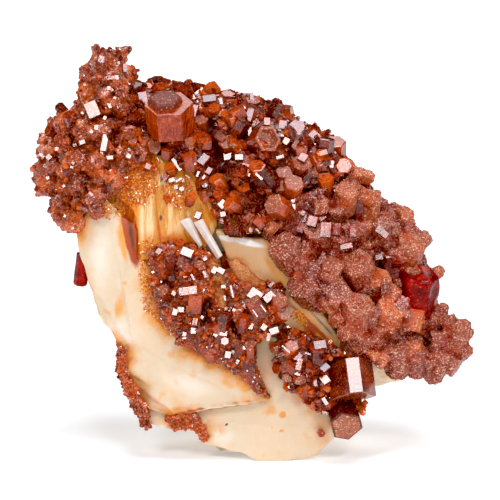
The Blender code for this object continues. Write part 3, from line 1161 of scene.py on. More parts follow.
@dataclass
class Heap:
    """Crystals gathered for one joined mesh."""

    grown: list[tuple] = field(default_factory=list)

    def add(self, shape: Shape, frame_of: np.ndarray, base: np.ndarray, tint: float, worn: float = 0.0,
            coat: float = 0.0) -> None:
        """Adds a crystal.

        Args:
            shape: its form.
            frame_of: a 3 by 3 array whose columns are its half width, half depth and length.
            base: where the middle of its root end is, in metres.
            tint: 0 for deep red to 1 for bright.
            worn: how brown and matt its end is, 0 to 1.
            coat: how much druse covers it, 0 to 1.
        """
        self.grown.append((shape, frame_of, base, tint, worn, coat))

    def join(self, name: str, patterns: dict[Shape, Pattern]) -> bpy.types.Object:
        """Makes one mesh of all the crystals.

        Args:
            name: the new object's name.
            patterns: the modelled forms.

        Returns:
            The object, flat shaded, with tint, cap and coat masks and a painted shade mask that is low at
            each root.
        """
        points, loops, sizes, unshaded_levels, tints, coats, caps, start = [], [], [], [], [], [], [], 0
        shapes, *rest = zip(*self.grown)
        frames, places, tones, worn, cover = (np.array(column) for column in rest)
        for shape, pattern in patterns.items():
            chosen = np.array([i for i, s in enumerate(shapes) if s is shape], int)
            if not len(chosen):
                continue
            moved = np.einsum("kij,nj->kni", frames[chosen], pattern.points) + places[chosen][:, None, :]
            count, each = len(chosen), len(pattern.points)
            corner = np.concatenate([np.array(f) for f in pattern.faces])
            loops.append((corner[None, :] + (start + np.arange(count) * each)[:, None]).ravel())
            sizes.append(np.tile([len(f) for f in pattern.faces], count))
            caps.append((pattern.caps[None, :] * worn[chosen][:, None]).ravel())
            # painted shade mask: 0 at each root, 1 at the outer end
            unshaded_levels.append(np.tile(np.clip(pattern.points[:, 2], 0.0, 1.0), count))
            tints.append(np.repeat(tones[chosen], each))
            coats.append(np.repeat(cover[chosen], each))
            points.append(moved.reshape(-1, 3))
            start += count * each
        corners, lengths = np.concatenate(loops), np.concatenate(sizes)
        mesh = bpy.data.meshes.new(name)
        mesh.vertices.add(start)
        mesh.vertices.foreach_set("co", np.concatenate(points).astype(np.float32).ravel())
        mesh.loops.add(len(corners))
        mesh.loops.foreach_set("vertex_index", corners.astype(np.int32))
        mesh.polygons.add(len(lengths))
        mesh.polygons.foreach_set("loop_start", (np.cumsum(lengths) - lengths).astype(np.int32))
        mesh.update(calc_edges=True)
        mesh.shade_flat()
        item = add_object(name, mesh)
        for mask, values in (("tint", tints), ("unshaded", unshaded_levels), ("coat", coats)):
            set_mask(item, mask, np.concatenate(values))
        set_mask(item, "cap", np.concatenate(caps), "FACE")
        return item


@dataclass(frozen=True)
class Sowing:
    """Crystals grown at random over a ground. Sizes are in millimetres, tilt in degrees."""

    count: int
    smallest: float
    largest: float
    slender: tuple[float, float] = (1.3, 2.6)
    tilt: float = 60.0
    least_tilt: float = 0.0
    sunk: tuple[float, float] = (0.3, 0.6)
    packing: float = 0.72
    family: float = 0.45
    worn: float = 0.3
    skew: float = 2.0
    shapes: tuple[Shape, ...] = (Shape.BLOCK, Shape.BLOCK, Shape.STEPPED, Shape.HOPPER, Shape.WEDGE,
                                 Shape.TWIN, Shape.SHARD, Shape.SLAB)
    tint: tuple[float, float] = (0.1, 0.95)
    coat: float = 0.0
    # painted glow: tint added to crystals near the crust's edges, as if light shone through them
    edge_glow: float = 0.4
    glinting: float = 0.0
    within: tuple[Patch, ...] = ()


@dataclass
class Ground:
    """The rock or crust that crystals are rooted in."""

    item: bpy.types.Object
    others: BVHTree
    tree: BVHTree = field(init=False)

    def __post_init__(self) -> None:
        """Builds the search tree."""
        self.tree = tree_of([self.item])

    def under(self, col: float, row: float) -> Vector:
        """Finds the point of the ground that a picture place shows.

        Where no ground shows there, the point of the line of sight nearest the ground stands in.

        Args:
            col: the picture's column.
            row: the picture's row.

        Returns:
            The point, in metres, on the line of sight.
        """
        across, up = VIEW.spot(col, row)
        sight = VIEW.sight(across, up)
        place, _, _, _ = self.tree.ray_cast(VIEW.eye, sight)
        if place is not None:
            return place
        line = [VIEW.on_board(across, up) + sight * step * MM for step in range(-14, 15)]
        return min(line, key=lambda p: self.tree.find_nearest(p)[3])

    def scatter(self, count: int, rng: np.random.Generator) -> tuple[np.ndarray, np.ndarray]:
        """Picks random points over the ground's whole area.

        Args:
            count: how many.
            rng: the random draws.

        Returns:
            The points and their faces' normals.
        """
        mesh = self.item.data
        mesh.calc_loop_triangles()
        flat = np.empty(len(mesh.loop_triangles) * 3, np.int32)
        mesh.loop_triangles.foreach_get("vertices", flat)
        corners = flat.reshape(-1, 3)
        points, smooth = points_of(self.item), normals_of(self.item)
        a, b, c = (points[corners[:, i]] for i in range(3))
        area = np.linalg.norm(np.cross(b - a, c - a), axis=1)
        chosen = rng.choice(len(corners), count, p=area / area.sum())
        u, v = rng.random(count), rng.random(count)
        flip = u + v > 1.0
        u[flip], v[flip] = 1.0 - u[flip], 1.0 - v[flip]
        spots = a[chosen] + (b - a)[chosen] * u[:, None] + (c - a)[chosen] * v[:, None]
        ways = smooth[corners[chosen]].mean(axis=1)
        return spots, ways / np.maximum(np.linalg.norm(ways, axis=1), 1e-9)[:, None]

    def open_to_air(self, spots: np.ndarray, ways: np.ndarray, reach: float) -> np.ndarray:
        """Tells which points aren't covered by the neighbouring pieces.

        Args:
            spots: points on the ground.
            ways: their normals.
            reach: how far out to test, in millimetres.

        Returns:
            True for each point whose outside is free.
        """
        return np.array([not inside(self.others, Vector(t)) for t in spots + ways * reach * MM])


@dataclass
class Planter:
    """Sets and sows crystals on a ground, keeping the sown ones clear of the listed ones.

    wobble is in degrees; the reach of the painted glow near the crust's edges and air are in millimetres.
    keep_off is how far a sown crystal stays away, as shares of the listed crystal's reach and of its
    own radius. Ground whose facing is above turned_away looks to the viewer.
    """

    heap: Heap
    ground: Ground
    rng: np.random.Generator
    hollows: tuple[Patch, ...] = ()
    wobble: float = 1.8
    edge_glow_reach: float = 0.9
    air: float = 0.35
    keep_off: tuple[float, float] = (0.85, 0.75)
    turned_away: float = -0.2
    hollow_edge: float = 0.2
    glint_facing: float = 0.3
    taken: list[tuple[float, float, float]] = field(default_factory=list)

    def plant(self, placed: Sequence[Placed], sowings: Sequence[Sowing]) -> None:
        """Sets the listed crystals and then sows the others.

        Args:
            placed: the listed crystals.
            sowings: what is sown.
        """
        for crystal in placed:
            self.set_by_hand(crystal)
        for sowing in sowings:
            self.sow(sowing)

    def set_by_hand(self, crystal: Placed) -> None:
        """Roots a listed crystal in the ground where it shows in the picture.

        Args:
            crystal: the crystal.
        """
        shown = self.ground.under(crystal.col, crystal.row) + VIEW.toward * crystal.out * MM
        axes = crystal.axes()
        wobble = Vector(self.rng.normal(scale=math.radians(self.wobble), size=3))
        axes = Matrix.Rotation(wobble.length, 3, wobble.normalized()) @ axes
        size = np.array((crystal.radius, crystal.radius, crystal.length)) * MM
        base = np.array(crystal.base(shown, axes))
        self.heap.add(crystal.shape, np.array(axes) * size, base, crystal.tint, crystal.worn)
        self.taken.append((*VIEW.spot(crystal.col, crystal.row), crystal.reach()))

    def clear_of(self, board: np.ndarray, ways: np.ndarray, radii: np.ndarray) -> np.ndarray:
        """Tells which sown crystals keep clear of the listed ones.

        Args:
            board: their board places.
            ways: the ground's normals there.
            radii: their radii in metres.

        Returns:
            True for each that may grow.
        """
        free = np.ones(len(board), bool)
        facing = ways @ np.array(VIEW.toward) > self.turned_away
        for across, up, reach in self.taken:
            gap = np.hypot(board[:, 0] - across, board[:, 1] - up)
            free &= ~(facing & (gap < self.keep_off[0] * reach + self.keep_off[1] * radii / MM))
        return free

    def sow(self, sowing: Sowing) -> None:
        """Grows random crystals over the ground, some of them in families that point the same way.

        Args:
            sowing: what is sown.
        """
        rng, count = self.rng, sowing.count
        spots, ways = self.ground.scatter(count, rng)
        share = rng.random(count) ** sowing.skew
        radii = np.sort((sowing.smallest + (sowing.largest - sowing.smallest) * share) * MM)[::-1]
        board = VIEW.seen(spots)
        free = self.ground.open_to_air(spots, ways, self.air) & self.clear_of(board, ways, radii)
        for hollow in self.hollows:
            free &= hollow.cover(board) < self.hollow_edge * hollow.strength
        if sowing.within:
            free &= np.max([p.cover(board) for p in sowing.within], axis=0) > rng.random(count)
            free &= ways @ np.array(VIEW.toward) > self.turned_away
        spots, ways, radii = spots[free], ways[free], radii[free]
        for i in spread_out(spots, radii, sowing.packing):
            axes = turned(ways[i], sowing.least_tilt, sowing.tilt, rng)
            # painted glow: brighter tint for crystals near the neighbouring pieces
            edge_glow_share = math.exp(-self.ground.others.find_nearest(Vector(spots[i]))[3] / (self.edge_glow_reach * MM))
            tint = rng.uniform(*sowing.tint) + sowing.edge_glow * edge_glow_share
            worn = float(rng.random() < sowing.worn)
            if rng.random() < sowing.glinting and self.grow_glint(spots[i], ways[i], radii[i], tint):
                continue
            self.grow(sowing, spots[i], axes, radii[i], tint, worn)
            if rng.random() < sowing.family:
                self.grow_family(sowing, spots[i], axes, radii[i], tint, worn)

    def grow(self, sowing: Sowing, spot: np.ndarray, axes: np.ndarray, radius: float, tint: float,
             worn: float) -> None:
        """Grows one crystal with an uneven cross-section.

        Args:
            sowing: what kind it is.
            spot: where it is rooted.
            axes: its own axes.
            radius: its radius in metres.
            tint: its tint.
            worn: how worn its end is.
        """
        rng = self.rng
        length = radius * rng.uniform(*sowing.slender)
        turn, stretch = rng.uniform(0.0, math.pi), rng.uniform(1.0, 1.45)
        across = np.array((math.cos(turn), math.sin(turn), 0.0))
        uneven = np.eye(3) + (stretch - 1.0) * np.outer(across, across)
        frame_of = (axes @ uneven) * np.array((radius, radius, length)) / math.sqrt(stretch)
        base = spot - axes[:, 2] * length * rng.uniform(*sowing.sunk)
        shape = sowing.shapes[rng.integers(len(sowing.shapes))]
        self.heap.add(shape, frame_of, base, tint, worn, sowing.coat)

    def grow_glint(self, spot: np.ndarray, way: np.ndarray, radius: float, tint: float) -> bool:
        """Grows a small slab whose front side mirrors a lamp, where the ground looks that way.

        Args:
            spot: where it is rooted.
            way: the ground's normal there.
            radius: its radius in metres.
            tint: its tint.

        Returns:
            Whether it could grow.
        """
        rng = self.rng
        lamp = (Lamp.KEY, Lamp.SECOND, Lamp.ROOF)[rng.integers(3)]
        front = np.array(lamp.glint)
        if front @ way < self.glint_facing:
            return False
        axis = rng.normal(size=3)
        axis -= front * (axis @ front)
        axis /= np.linalg.norm(axis)
        length = radius * rng.uniform(1.0, 2.2)
        axes = np.stack([np.cross(axis, front), -front, axis], axis=1)
        base = spot + front * radius * 0.5 - axis * length * 0.5
        self.heap.add(Shape.SLAB, axes * np.array((radius, radius, length)), base, tint)
        return True

    def grow_family(self, sowing: Sowing, spot: np.ndarray, axes: np.ndarray, radius: float, tint: float,
                    worn: float) -> None:
        """Grows one to three smaller crystals beside a crystal, pointing nearly the same way.

        Args:
            sowing: what kind it is.
            spot: where it is rooted.
            axes: its own axes.
            radius: its radius in metres.
            tint: its tint.
            worn: how worn its end is.
        """
        rng = self.rng
        for _ in range(rng.integers(1, 4)):
            turn, gap = rng.uniform(0.0, 2.0 * math.pi), radius * rng.uniform(0.8, 1.25)
            beside = spot + (axes[:, 0] * math.cos(turn) + axes[:, 1] * math.sin(turn)) * gap
            near = axes + rng.normal(scale=0.06, size=(3, 3))
            near = np.linalg.qr(near)[0] * np.sign(np.diag(np.linalg.qr(near)[1]))
            size, tone = radius * rng.uniform(0.4, 0.85), tint + rng.uniform(-0.15, 0.15)
            self.grow(sowing, beside, near, size, tone, worn)


def spread_out(spots: np.ndarray, radii: np.ndarray, packing: float) -> np.ndarray:
    """Keeps the larger crystals and drops those that crowd them.

    Args:
        spots: the crystals' places.
        radii: their radii, in metres, largest first.
        packing: the least distance, as a share of two radii.

    Returns:
        The indices that stay.
    """
    tree = KDTree(len(spots))
    for i, spot in enumerate(spots):
        tree.insert(Vector(spot), i)
    tree.balance()
    free = np.ones(len(spots), bool)
    kept = []
    for i in range(len(spots)):
        if not free[i]:
            continue
        kept.append(i)
        for _, j, gap in tree.find_range(Vector(spots[i]), packing * 2.0 * radii[i]):
            if j > i and gap < packing * (radii[i] + radii[j]):
                free[j] = False
    return np.array(kept, int)


def turned(way: np.ndarray, least: float, tilt: float, rng: np.random.Generator) -> np.ndarray:
    """Makes a crystal's axes near a direction.

    Args:
        way: the direction to grow in.
        least: how far the axis leans from it at least, in degrees.
        tilt: how far it may lean.
        rng: the random draws.

    Returns:
        A 3 by 3 rotation whose third column is the axis.
    """
    lean = rng.normal(size=3)
    lean -= way * lean.dot(way)
    lean /= max(np.linalg.norm(lean), 1e-9)
    angle = math.radians(least + (tilt - least) * math.sqrt(rng.random()))
    axis = way * math.cos(angle) + lean * math.sin(angle)
    side = rng.normal(size=3)
    side -= axis * side.dot(axis)
    side /= max(np.linalg.norm(side), 1e-9)
    return np.stack([side, np.cross(axis, side), axis], axis=1)


# ---------------------------------------------------------------------------------------------
# The barite
# ---------------------------------------------------------------------------------------------

@dataclass
class BaritePiece:
    """One piece of the barite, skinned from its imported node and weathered."""

    node: str
    slot: str
    finish: BariteFinish
    voxel: float = 0.32
    round_off: int = 1
    swell: float = 0.14
    swell_size: float = 7.0
    grit: float = 0.035
    grit_size: float = 1.1
    chip: float = 0.22
    chip_size: float = 1.8
    stain: float = 1.1
    stain_reach: float = 0.65
    back_rust: float = 0.45
    back_gold: float = 0.35
    freckles: float = 0.4
    grow: float = 0.0
    crease_angle: float = 45.0
    marks: tuple[Mark, ...] = ()
    ledges: tuple[Ledge, ...] = ()

    def build(self, effects: SharedEffects, crystals: BVHTree) -> bpy.types.Object:
        """Builds the piece and dresses it.

        Args:
            effects: the shared node groups.
            crystals: the vanadinite, whose rust stains the barite round it.

        Returns:
            The finished piece.
        """
        item = node_copy(self.node, self.node + "_looks")
        self.add_parts(item)
        skin(item, self.voxel)
        soften(item, self.round_off)
        self.weather(item)
        crease(item, self.crease_angle)
        self.stain_masks(item, crystals)
        return dress(item, self.node, shared_material(self.finish, effects))

    def add_parts(self, item: bpy.types.Object) -> None:
        """Joins further parts to the piece before it is skinned; a plain piece has none."""

    def weather(self, item: bpy.types.Object) -> None:
        """Moves the skin's points: a slow swell, fine grit, chipped edges and cleavage ledges.

        Args:
            item: the skinned piece.
        """
        points, normals = points_of(item), normals_of(item)
        edge = 1.0 - np.abs(normals[:, 1])
        push = self.grow + self.swell * lumps(points, self.swell_size, 1.0)
        push += self.grit * lumps(points, self.grit_size, 2.0)
        push += self.chip * ease(0.2, 0.8, edge) * lumps(points, self.chip_size, 3.0)
        moved = points + normals * (push * MM)[:, None]
        front = ease(0.2, 0.7, -normals[:, 1])
        for ledge in self.ledges:
            moved[:, 1] += ledge.depth(VIEW.seen(points)) * front * MM
        moved[:, 2] = np.maximum(moved[:, 2], 0.0)
        set_points(item, moved)

    def stain_masks(self, item: bpy.types.Object, crystals: BVHTree) -> None:
        """Stores how much of each tone covers each point.

        Args:
            item: the piece.
            crystals: the vanadinite round it.
        """
        points, normals = points_of(item), normals_of(item)
        board = VIEW.seen(points)
        front = ease(0.0, 0.35, normals @ np.array(VIEW.toward))
        gaps = np.array([crystals.find_nearest(Vector(p))[3] for p in points]) / MM
        back = ease(0.1, 0.7, normals[:, 1])
        patchy = ease(0.05, 0.5, lumps(points, 4.0, 9.0))
        masks = {tone: np.zeros(len(points)) for tone in Tone}
        uneven = 0.75 + 0.6 * lumps(points, 2.2, 14.0)
        near, wide = (self.stain * uneven * np.exp(-gaps / (self.stain_reach * far)) for far in (1.0, 2.0))
        freckled = ease(0.25, 0.7, lumps(points, 1.5, 10.0))
        masks[Tone.RUST] += near + self.back_rust * back * patchy
        masks[Tone.GOLD] += 1.5 * wide + self.back_gold * back + self.freckles * freckled
        for mark in self.marks:
            masks[mark.tone] = np.maximum(masks[mark.tone], mark.patch.cover(board) * front)
        for tone, values in masks.items():
            set_mask(item, tone.value, values)


@dataclass
class Lath(BaritePiece):
    """A thin blade that widens toward its upper end."""

    voxel: float = 0.1
    swell: float = 0.02
    chip: float = 0.03
    grit: float = 0.01
    stain: float = 0.08
    grow: float = 0.12
    taper: float = 0.3

    def weather(self, item: bpy.types.Object) -> None:
        """Widens the upper end and narrows the lower one after the usual weathering.

        Args:
            item: the skinned lath.
        """
        super().weather(item)
        points = points_of(item)
        slope, start = np.polyfit(points[:, 2], points[:, 0], 1)
        middle = slope * points[:, 2] + start
        share = 2.0 * (points[:, 2] - points[:, 2].mean()) / np.ptp(points[:, 2])
        points[:, 0] = middle + (points[:, 0] - middle) * (1.0 + self.taper * share)
        set_points(item, points)


@dataclass
class FibrousFan(BaritePiece):
    """The fan of golden fibres between the crusts: ridges that spread from a point above it."""

    apex: tuple[float, float] = (-15.0, 50.0)
    ridge: float = 0.42
    ridge_turns: float = 46.0
    ridge_stretch: float = 0.06
    fill_middle: tuple[float, float, float] = (-16.4, -2.7, 32.2)
    fill_size: tuple[float, float, float] = (6.8, 3.0, 10.5)
    fill_turn: tuple[float, float, float] = (-9.0, 0.0, -20.0)

    def add_parts(self, item: bpy.types.Object) -> None:
        """Joins the rough slab that closes the cleft between the fan and the front blade.

        Args:
            item: the fan.
        """
        bpy.ops.object.select_all(action="DESELECT")
        bpy.ops.mesh.primitive_cube_add(size=1.0)
        slab = bpy.context.active_object
        slab.scale = Vector(self.fill_size) * MM
        slab.rotation_euler = [math.radians(a) for a in self.fill_turn]
        slab.location = Vector(self.fill_middle) * MM
        bpy.ops.object.transform_apply(location=True, rotation=True, scale=True)
        item.select_set(True)
        bpy.context.view_layer.objects.active = item
        bpy.ops.object.join()

    def weather(self, item: bpy.types.Object) -> None:
        """Cuts the fibres' ridges after the usual weathering.

        Args:
            item: the skinned fan.
        """
        super().weather(item)
        points, normals = points_of(item), normals_of(item)
        board = VIEW.seen(points)
        angle = np.arctan2(board[:, 0] - self.apex[0], self.apex[1] - board[:, 1])
        reach = np.hypot(board[:, 0] - self.apex[0], self.apex[1] - board[:, 1])
        line = np.stack([angle * self.ridge_turns, reach * self.ridge_stretch, 0.0 * angle], axis=1) * MM
        height = lumps(line, 1.0, 4.0) + 0.5 * lumps(line, 0.45, 5.0)
        front = ease(0.1, 0.6, normals @ np.array(VIEW.toward))
        set_points(item, points + normals * (self.ridge * height * front * MM)[:, None])


# ---------------------------------------------------------------------------------------------
# The vanadinite
# ---------------------------------------------------------------------------------------------

@dataclass
class Crust:
    """A crust of grown-together crystals: a ground, what is sown on it and the crystals listed one by one.

    A crust with blocks grows those first and melts them into the ground, so that the druse sown
    after them coats them.
    """

    node: str
    slot: str
    ground_finish: VanadiniteFinish
    crystal_finish: VanadiniteFinish
    sowings: tuple[Sowing, ...]
    placed: tuple[Placed, ...] = ()
    blocks: tuple[Placed, ...] = ()
    block_sowings: tuple[Sowing, ...] = ()
    hollows: tuple[Patch, ...] = ()
    bald: tuple[Patch, ...] = ()
    bald_coat: float = 0.0
    hug: float = 0.0
    voxel: float = 0.3
    coat_voxel: float = 0.205
    round_off: int = 4
    shrink: float = 0.45
    rough: float = 0.16
    rough_size: float = 0.9
    block_rough: float = 0.05
    block_rough_size: float = 0.45
    contact: tuple[float, float] = (0.3, 1.6)
    crease_angle: float = 30.0
    block_crease_angle: float = 28.0
    relief_reach: int = 60
    # the way the coated faces look; the bare deep red left on the far side is partly painted shade
    lit_coat_way: tuple[float, float, float] = (0.30, -0.25, 0.92)
    ground_tint: float = 0.2
    coat_level: float = 0.0
    seed: int = SEED

    def build(self, effects: SharedEffects, patterns: dict[Shape, Pattern], others: BVHTree) -> list:
        """Builds the crust's ground and crystals.

        Args:
            effects: the shared node groups.
            patterns: the modelled crystal forms.
            others: the pieces round the crust.

        Returns:
            The two finished objects.
        """
        rng = np.random.default_rng(self.seed)
        item = node_copy(self.node, self.node + "_ground")
        skin(item, self.voxel)
        soften(item, self.round_off)
        self.wear(item, others)
        self.ground_masks(item)
        if self.blocks or self.block_sowings:
            self.grow_blocks(item, patterns, others, rng)
        planter = Planter(Heap(), Ground(item, others), rng, self.hollows + self.bald)
        planter.plant(self.placed, self.sowings)
        crystals = planter.heap.join(self.node + "_crystals", patterns)
        return [dress(piece, self.node, shared_material(finish, effects))
                for piece, finish in ((item, self.ground_finish), (crystals, self.crystal_finish))]

    def grow_blocks(self, item: bpy.types.Object, patterns: dict[Shape, Pattern], others: BVHTree,
                    rng: np.random.Generator) -> None:
        """Grows the large blocks and melts them into the ground as one skin.

        Args:
            item: the ground.
            patterns: the modelled crystal forms.
            others: the pieces round the crust.
            rng: the random draws.
        """
        planter = Planter(Heap(), Ground(item, others), rng, self.hollows)
        planter.plant(self.blocks, self.block_sowings)
        raw = planter.heap.join(self.node + "_blocks", patterns)
        tree, tints = tree_of([raw]), np.empty(len(raw.data.vertices), np.float32)
        raw.data.attributes["tint"].data.foreach_get("value", tints)
        corner = [p.vertices[0] for p in raw.data.polygons]
        only(item)
        raw.select_set(True)
        bpy.ops.object.join()
        skin(item, self.coat_voxel)
        soften(item, 1)
        points, normals = points_of(item), normals_of(item)
        grit = self.block_rough * lumps(points, self.block_rough_size, 12.0)
        set_points(item, points + normals * (grit * MM)[:, None])
        crease(item, self.block_crease_angle)
        near = [tree.find_nearest(Vector(p)) for p in points]
        gap = np.array([n[3] for n in near]) / MM
        tint = np.array([tints[corner[n[2]]] for n in near])
        bare = ease(0.15, 0.5, gap)
        height = relief(item, self.relief_reach) + 0.06 * lumps(points, 0.7, 14.0)
        # coat on raised faces turned up and right; the bare deep red in the gaps and on faces turned down and
        # left is partly painted shade
        way = normals @ np.array(self.lit_coat_way) + 0.3 * lumps(points, 1.4, 13.0)
        coat = ease(-0.20, 0.06, height) * ease(-0.75, 0.05, way) * ease(0.12, 0.3, tint)
        coat *= (1.0 - 0.5 * bare) * (1.0 - self.cover(self.bald, points))
        set_mask(item, "tint", tint * (1.0 - bare) + self.ground_tint * bare)
        # painted shade in the gaps between the blocks
        set_mask(item, "unshaded", 0.2 + ease(-0.35, 0.1, height))
        set_mask(item, "coat", self.coat_level * coat)
        set_mask(item, "cap", np.zeros(len(points)))

    def cover(self, patches: Sequence[Patch], points: np.ndarray) -> np.ndarray:
        """Tells how much any of the patches covers each point.

        Args:
            patches: the patches.
            points: an (n, 3) array in metres.

        Returns:
            Values from 0 to 1.
        """
        board = VIEW.seen(points)
        covers = [np.clip(p.cover(board) / max(p.strength, 0.1), 0.0, 1.0) for p in patches]
        return np.max(covers, axis=0) if covers else np.zeros(len(points))

    def wear(self, item: bpy.types.Object, others: BVHTree) -> None:
        """Draws the ground in where no neighbour touches it, presses in its hollows and roughens it.

        Args:
            item: the ground.
            others: the pieces round it.
        """
        points, normals = points_of(item), normals_of(item)
        near = [others.find_nearest(Vector(p)) for p in points]
        gaps = np.array([n[3] for n in near]) / MM
        push = -self.shrink * ease(*self.contact, gaps) + self.rough * lumps(points, self.rough_size, 6.0)
        moved = points + normals * (push * MM)[:, None]
        moved += (np.array([n[0] for n in near]) - points) * self.hug
        board = VIEW.seen(points)
        front = ease(0.0, 0.4, normals @ np.array(VIEW.toward))
        for hollow in self.hollows + self.bald:
            moved -= np.array(VIEW.toward) * (hollow.cover(board) * front * MM)[:, None]
        set_points(item, moved)
        crease(item, self.crease_angle)

    def ground_masks(self, item: bpy.types.Object) -> None:
        """Stores the ground's masks, with painted shade that turns its tint deep red in the hollows.

        Args:
            item: the ground.
        """
        points = points_of(item)
        dark, bald = self.cover(self.hollows, points), self.cover(self.bald, points)
        # painted shade: the tint and the shade mask fall in the hollows
        tint = (self.ground_tint + 0.25 * lumps(points, 1.6, 8.0)) * (1.0 - dark)
        set_mask(item, "tint", tint + self.bald_coat * bald)
        set_mask(item, "unshaded", 1.0 - 1.3 * dark)
        set_mask(item, "coat", self.bald_coat * bald)
        set_mask(item, "cap", np.zeros(len(points)))


@dataclass
class Speckles:
    """Sugar of tiny crystals strewn over the barite where the crusts thin out."""

    node: str
    slot: str
    finish: VanadiniteFinish
    sowings: tuple[Sowing, ...]
    name: str = "vanadinite_speckles"

    def build(self, effects: SharedEffects, patterns: dict[Shape, Pattern], barite: list) -> bpy.types.Object:
        """Strews the crystals and dresses them.

        Args:
            effects: the shared node groups.
            patterns: the modelled crystal forms.
            barite: the barite pieces that carry them.

        Returns:
            The finished piece.
        """
        rng, heap = np.random.default_rng(SEED), Heap()
        for item in barite:
            others = tree_of([b for b in barite if b is not item])
            Planter(heap, Ground(item, others), rng).plant((), self.sowings)
        grains = heap.join(self.name, patterns)
        return dress(grains, self.node, shared_material(self.finish, effects))


@dataclass
class SinglePrism:
    """One large crystal, cut side by side and given a bevelled, stepped end.

    root is the middle of its root end. sides are the faces' directions in degrees from the front and
    their distances from the axis in radii.
    """

    node: str
    slot: str
    finish: VanadiniteFinish
    root: tuple[float, float, float]
    axis: tuple[float, float, float]
    radius: float
    length: float
    front: tuple[float, float, float] = (0.0, -1.0, 0.0)
    sides: tuple[tuple[float, float], ...] = tuple((turn, HEX_FLAT) for turn in range(0, 360, 60))
    rough_radius: float = 1.6
    steps: tuple[tuple[float, ...], ...] = ((0.10, 0.06), (0.05, 0.02))
    rings: tuple[float, ...] = (0.22, 0.45, 0.63, 0.8)
    waist: float = 0.02
    waves: float = 23.0
    bevel: float = 0.06
    bevel_angle: float = 25.0
    rounds: int = 2
    crease_angle: float = 12.0
    melt: int = 0
    melt_voxel: float = 0.16
    dent: float = 0.30
    dent_size: float = 2.2
    pit: float = 0.04
    pit_size: float = 0.8
    tint: float = 0.5
    worn: float = 1.0
    worn_above: float | None = None

    def build(self, effects: SharedEffects, bench: PatternBench) -> bpy.types.Object:
        """Models the crystal and dresses it.

        Args:
            effects: the shared node groups.
            bench: the bench that starts a prism.

        Returns:
            The finished crystal.
        """
        item = bench.blank(top=self.rough_radius, bottom=self.rough_radius, sides=12)
        item.name = self.node + "_looks"
        self.cut_sides(item, bench)
        bench.crown(item, self.steps)
        self.cut_rings(item)
        self.stand(item)
        apply_modifier(item, "BEVEL", width=self.bevel * MM, segments=self.rounds, limit_method="ANGLE",
                       angle_limit=math.radians(self.bevel_angle))
        if self.melt:
            self.melt_edges(item)
        crease(item, self.crease_angle)
        self.masks(item)
        return dress(item, self.node, shared_material(self.finish, effects))

    def cut_sides(self, item: bpy.types.Object, bench: PatternBench) -> None:
        """Cuts the crystal's side faces, one slice each.

        Args:
            item: the rough prism.
            bench: the bench that slices it.
        """
        for turn, far in self.sides:
            angle = math.radians(turn)
            way = Vector((-math.sin(angle), -math.cos(angle), 0.0))
            bench.slice_end(item, way * far, way)

    def cut_rings(self, item: bpy.types.Object) -> None:
        """Cuts rings round the sides, each a little narrower or wider than the last.

        Args:
            item: the prism, still on the bench.
        """
        with editing(item):
            for level in self.rings:
                bpy.ops.mesh.select_all(action="SELECT")
                bpy.ops.mesh.bisect(plane_co=(0.0, 0.0, level), plane_no=(0.0, 0.0, 1.0))
        points = points_of(item)
        wave = self.waist * np.sin(points[:, 2] * self.waves) * (points[:, 2] < 0.95)
        points[:, :2] *= (1.0 + wave)[:, None]
        set_points(item, points)

    def melt_edges(self, item: bpy.types.Object) -> None:
        """Rounds the crystal off as if it were half dissolved, and dents its sides.

        Args:
            item: the crystal in its place.
        """
        skin(item, self.melt_voxel)
        soften(item, self.melt)
        points = points_of(item)
        dents = self.dent * lumps(points, self.dent_size, 21.0)
        dents += self.pit * lumps(points, self.pit_size, 22.0)
        set_points(item, points + normals_of(item) * (dents * MM)[:, None])

    def stand(self, item: bpy.types.Object) -> None:
        """Gives the crystal its size and puts it in its place.

        Args:
            item: the prism, still on the bench.
        """
        axis, front = Vector(self.axis).normalized(), Vector(self.front)
        front = (front - axis * front.dot(axis)).normalized()
        turn = Matrix((axis.cross(front), -front, axis)).transposed().to_4x4()
        size = Matrix.Diagonal((self.radius * MM, self.radius * MM, self.length * MM, 1.0))
        item.data.transform(Matrix.Translation(Vector(self.root) * MM) @ turn @ size)
        item.data.update()

    def masks(self, item: bpy.types.Object) -> None:
        """Stores the crystal's tint, its worn end, and painted shade toward its root.

        Args:
            item: the crystal in its place.
        """
        axis, root = np.array(Vector(self.axis).normalized()), np.array(self.root) * MM
        points, faces = points_of(item), item.data.polygons
        along = (points - root) @ axis / (self.length * MM)
        set_mask(item, "tint", self.tint + 0.2 * lumps(points, 1.2, 2.0))
        # painted shade: darker toward the root
        set_mask(item, "unshaded", 0.45 + 0.55 * np.clip(along, 0.0, 1.0))
        set_mask(item, "coat", np.zeros(len(points)))
        if self.worn_above is None:
            worn = np.array([f.normal.dot(Vector(axis)) > 0.95 for f in faces])
        else:
            middles = np.array([f.center for f in faces])
            worn = (middles - root) @ axis / (self.length * MM) > self.worn_above
        set_mask(item, "cap", worn * self.worn, "FACE")


# ---------------------------------------------------------------------------------------------
# The studio
# ---------------------------------------------------------------------------------------------

@dataclass(frozen=True)
class SoftLight:
    """A far soft box: which one it is, how wide it looks in degrees, and how much light it gives."""

    lamp: Lamp
    spread: float
    strength: float
    tint: Colour = (1.0, 1.0, 1.0)
    mirrored: bool = True

    def hang(self) -> bpy.types.Object:
        """Hangs the light so that it shines on the specimen.

        Returns:
            The light.
        """
        name = self.lamp.name.lower() + "_light"
        made = bpy.data.lights.new(name, "SUN")
        made.angle = math.radians(self.spread)
        made.energy = self.strength
        made.color = self.tint
        item = add_object(name, made)
        item.visible_glossy = self.mirrored
        item.location = self.lamp.way
        item.rotation_euler = self.lamp.way.to_track_quat("Z", "Y").to_euler()
        return item


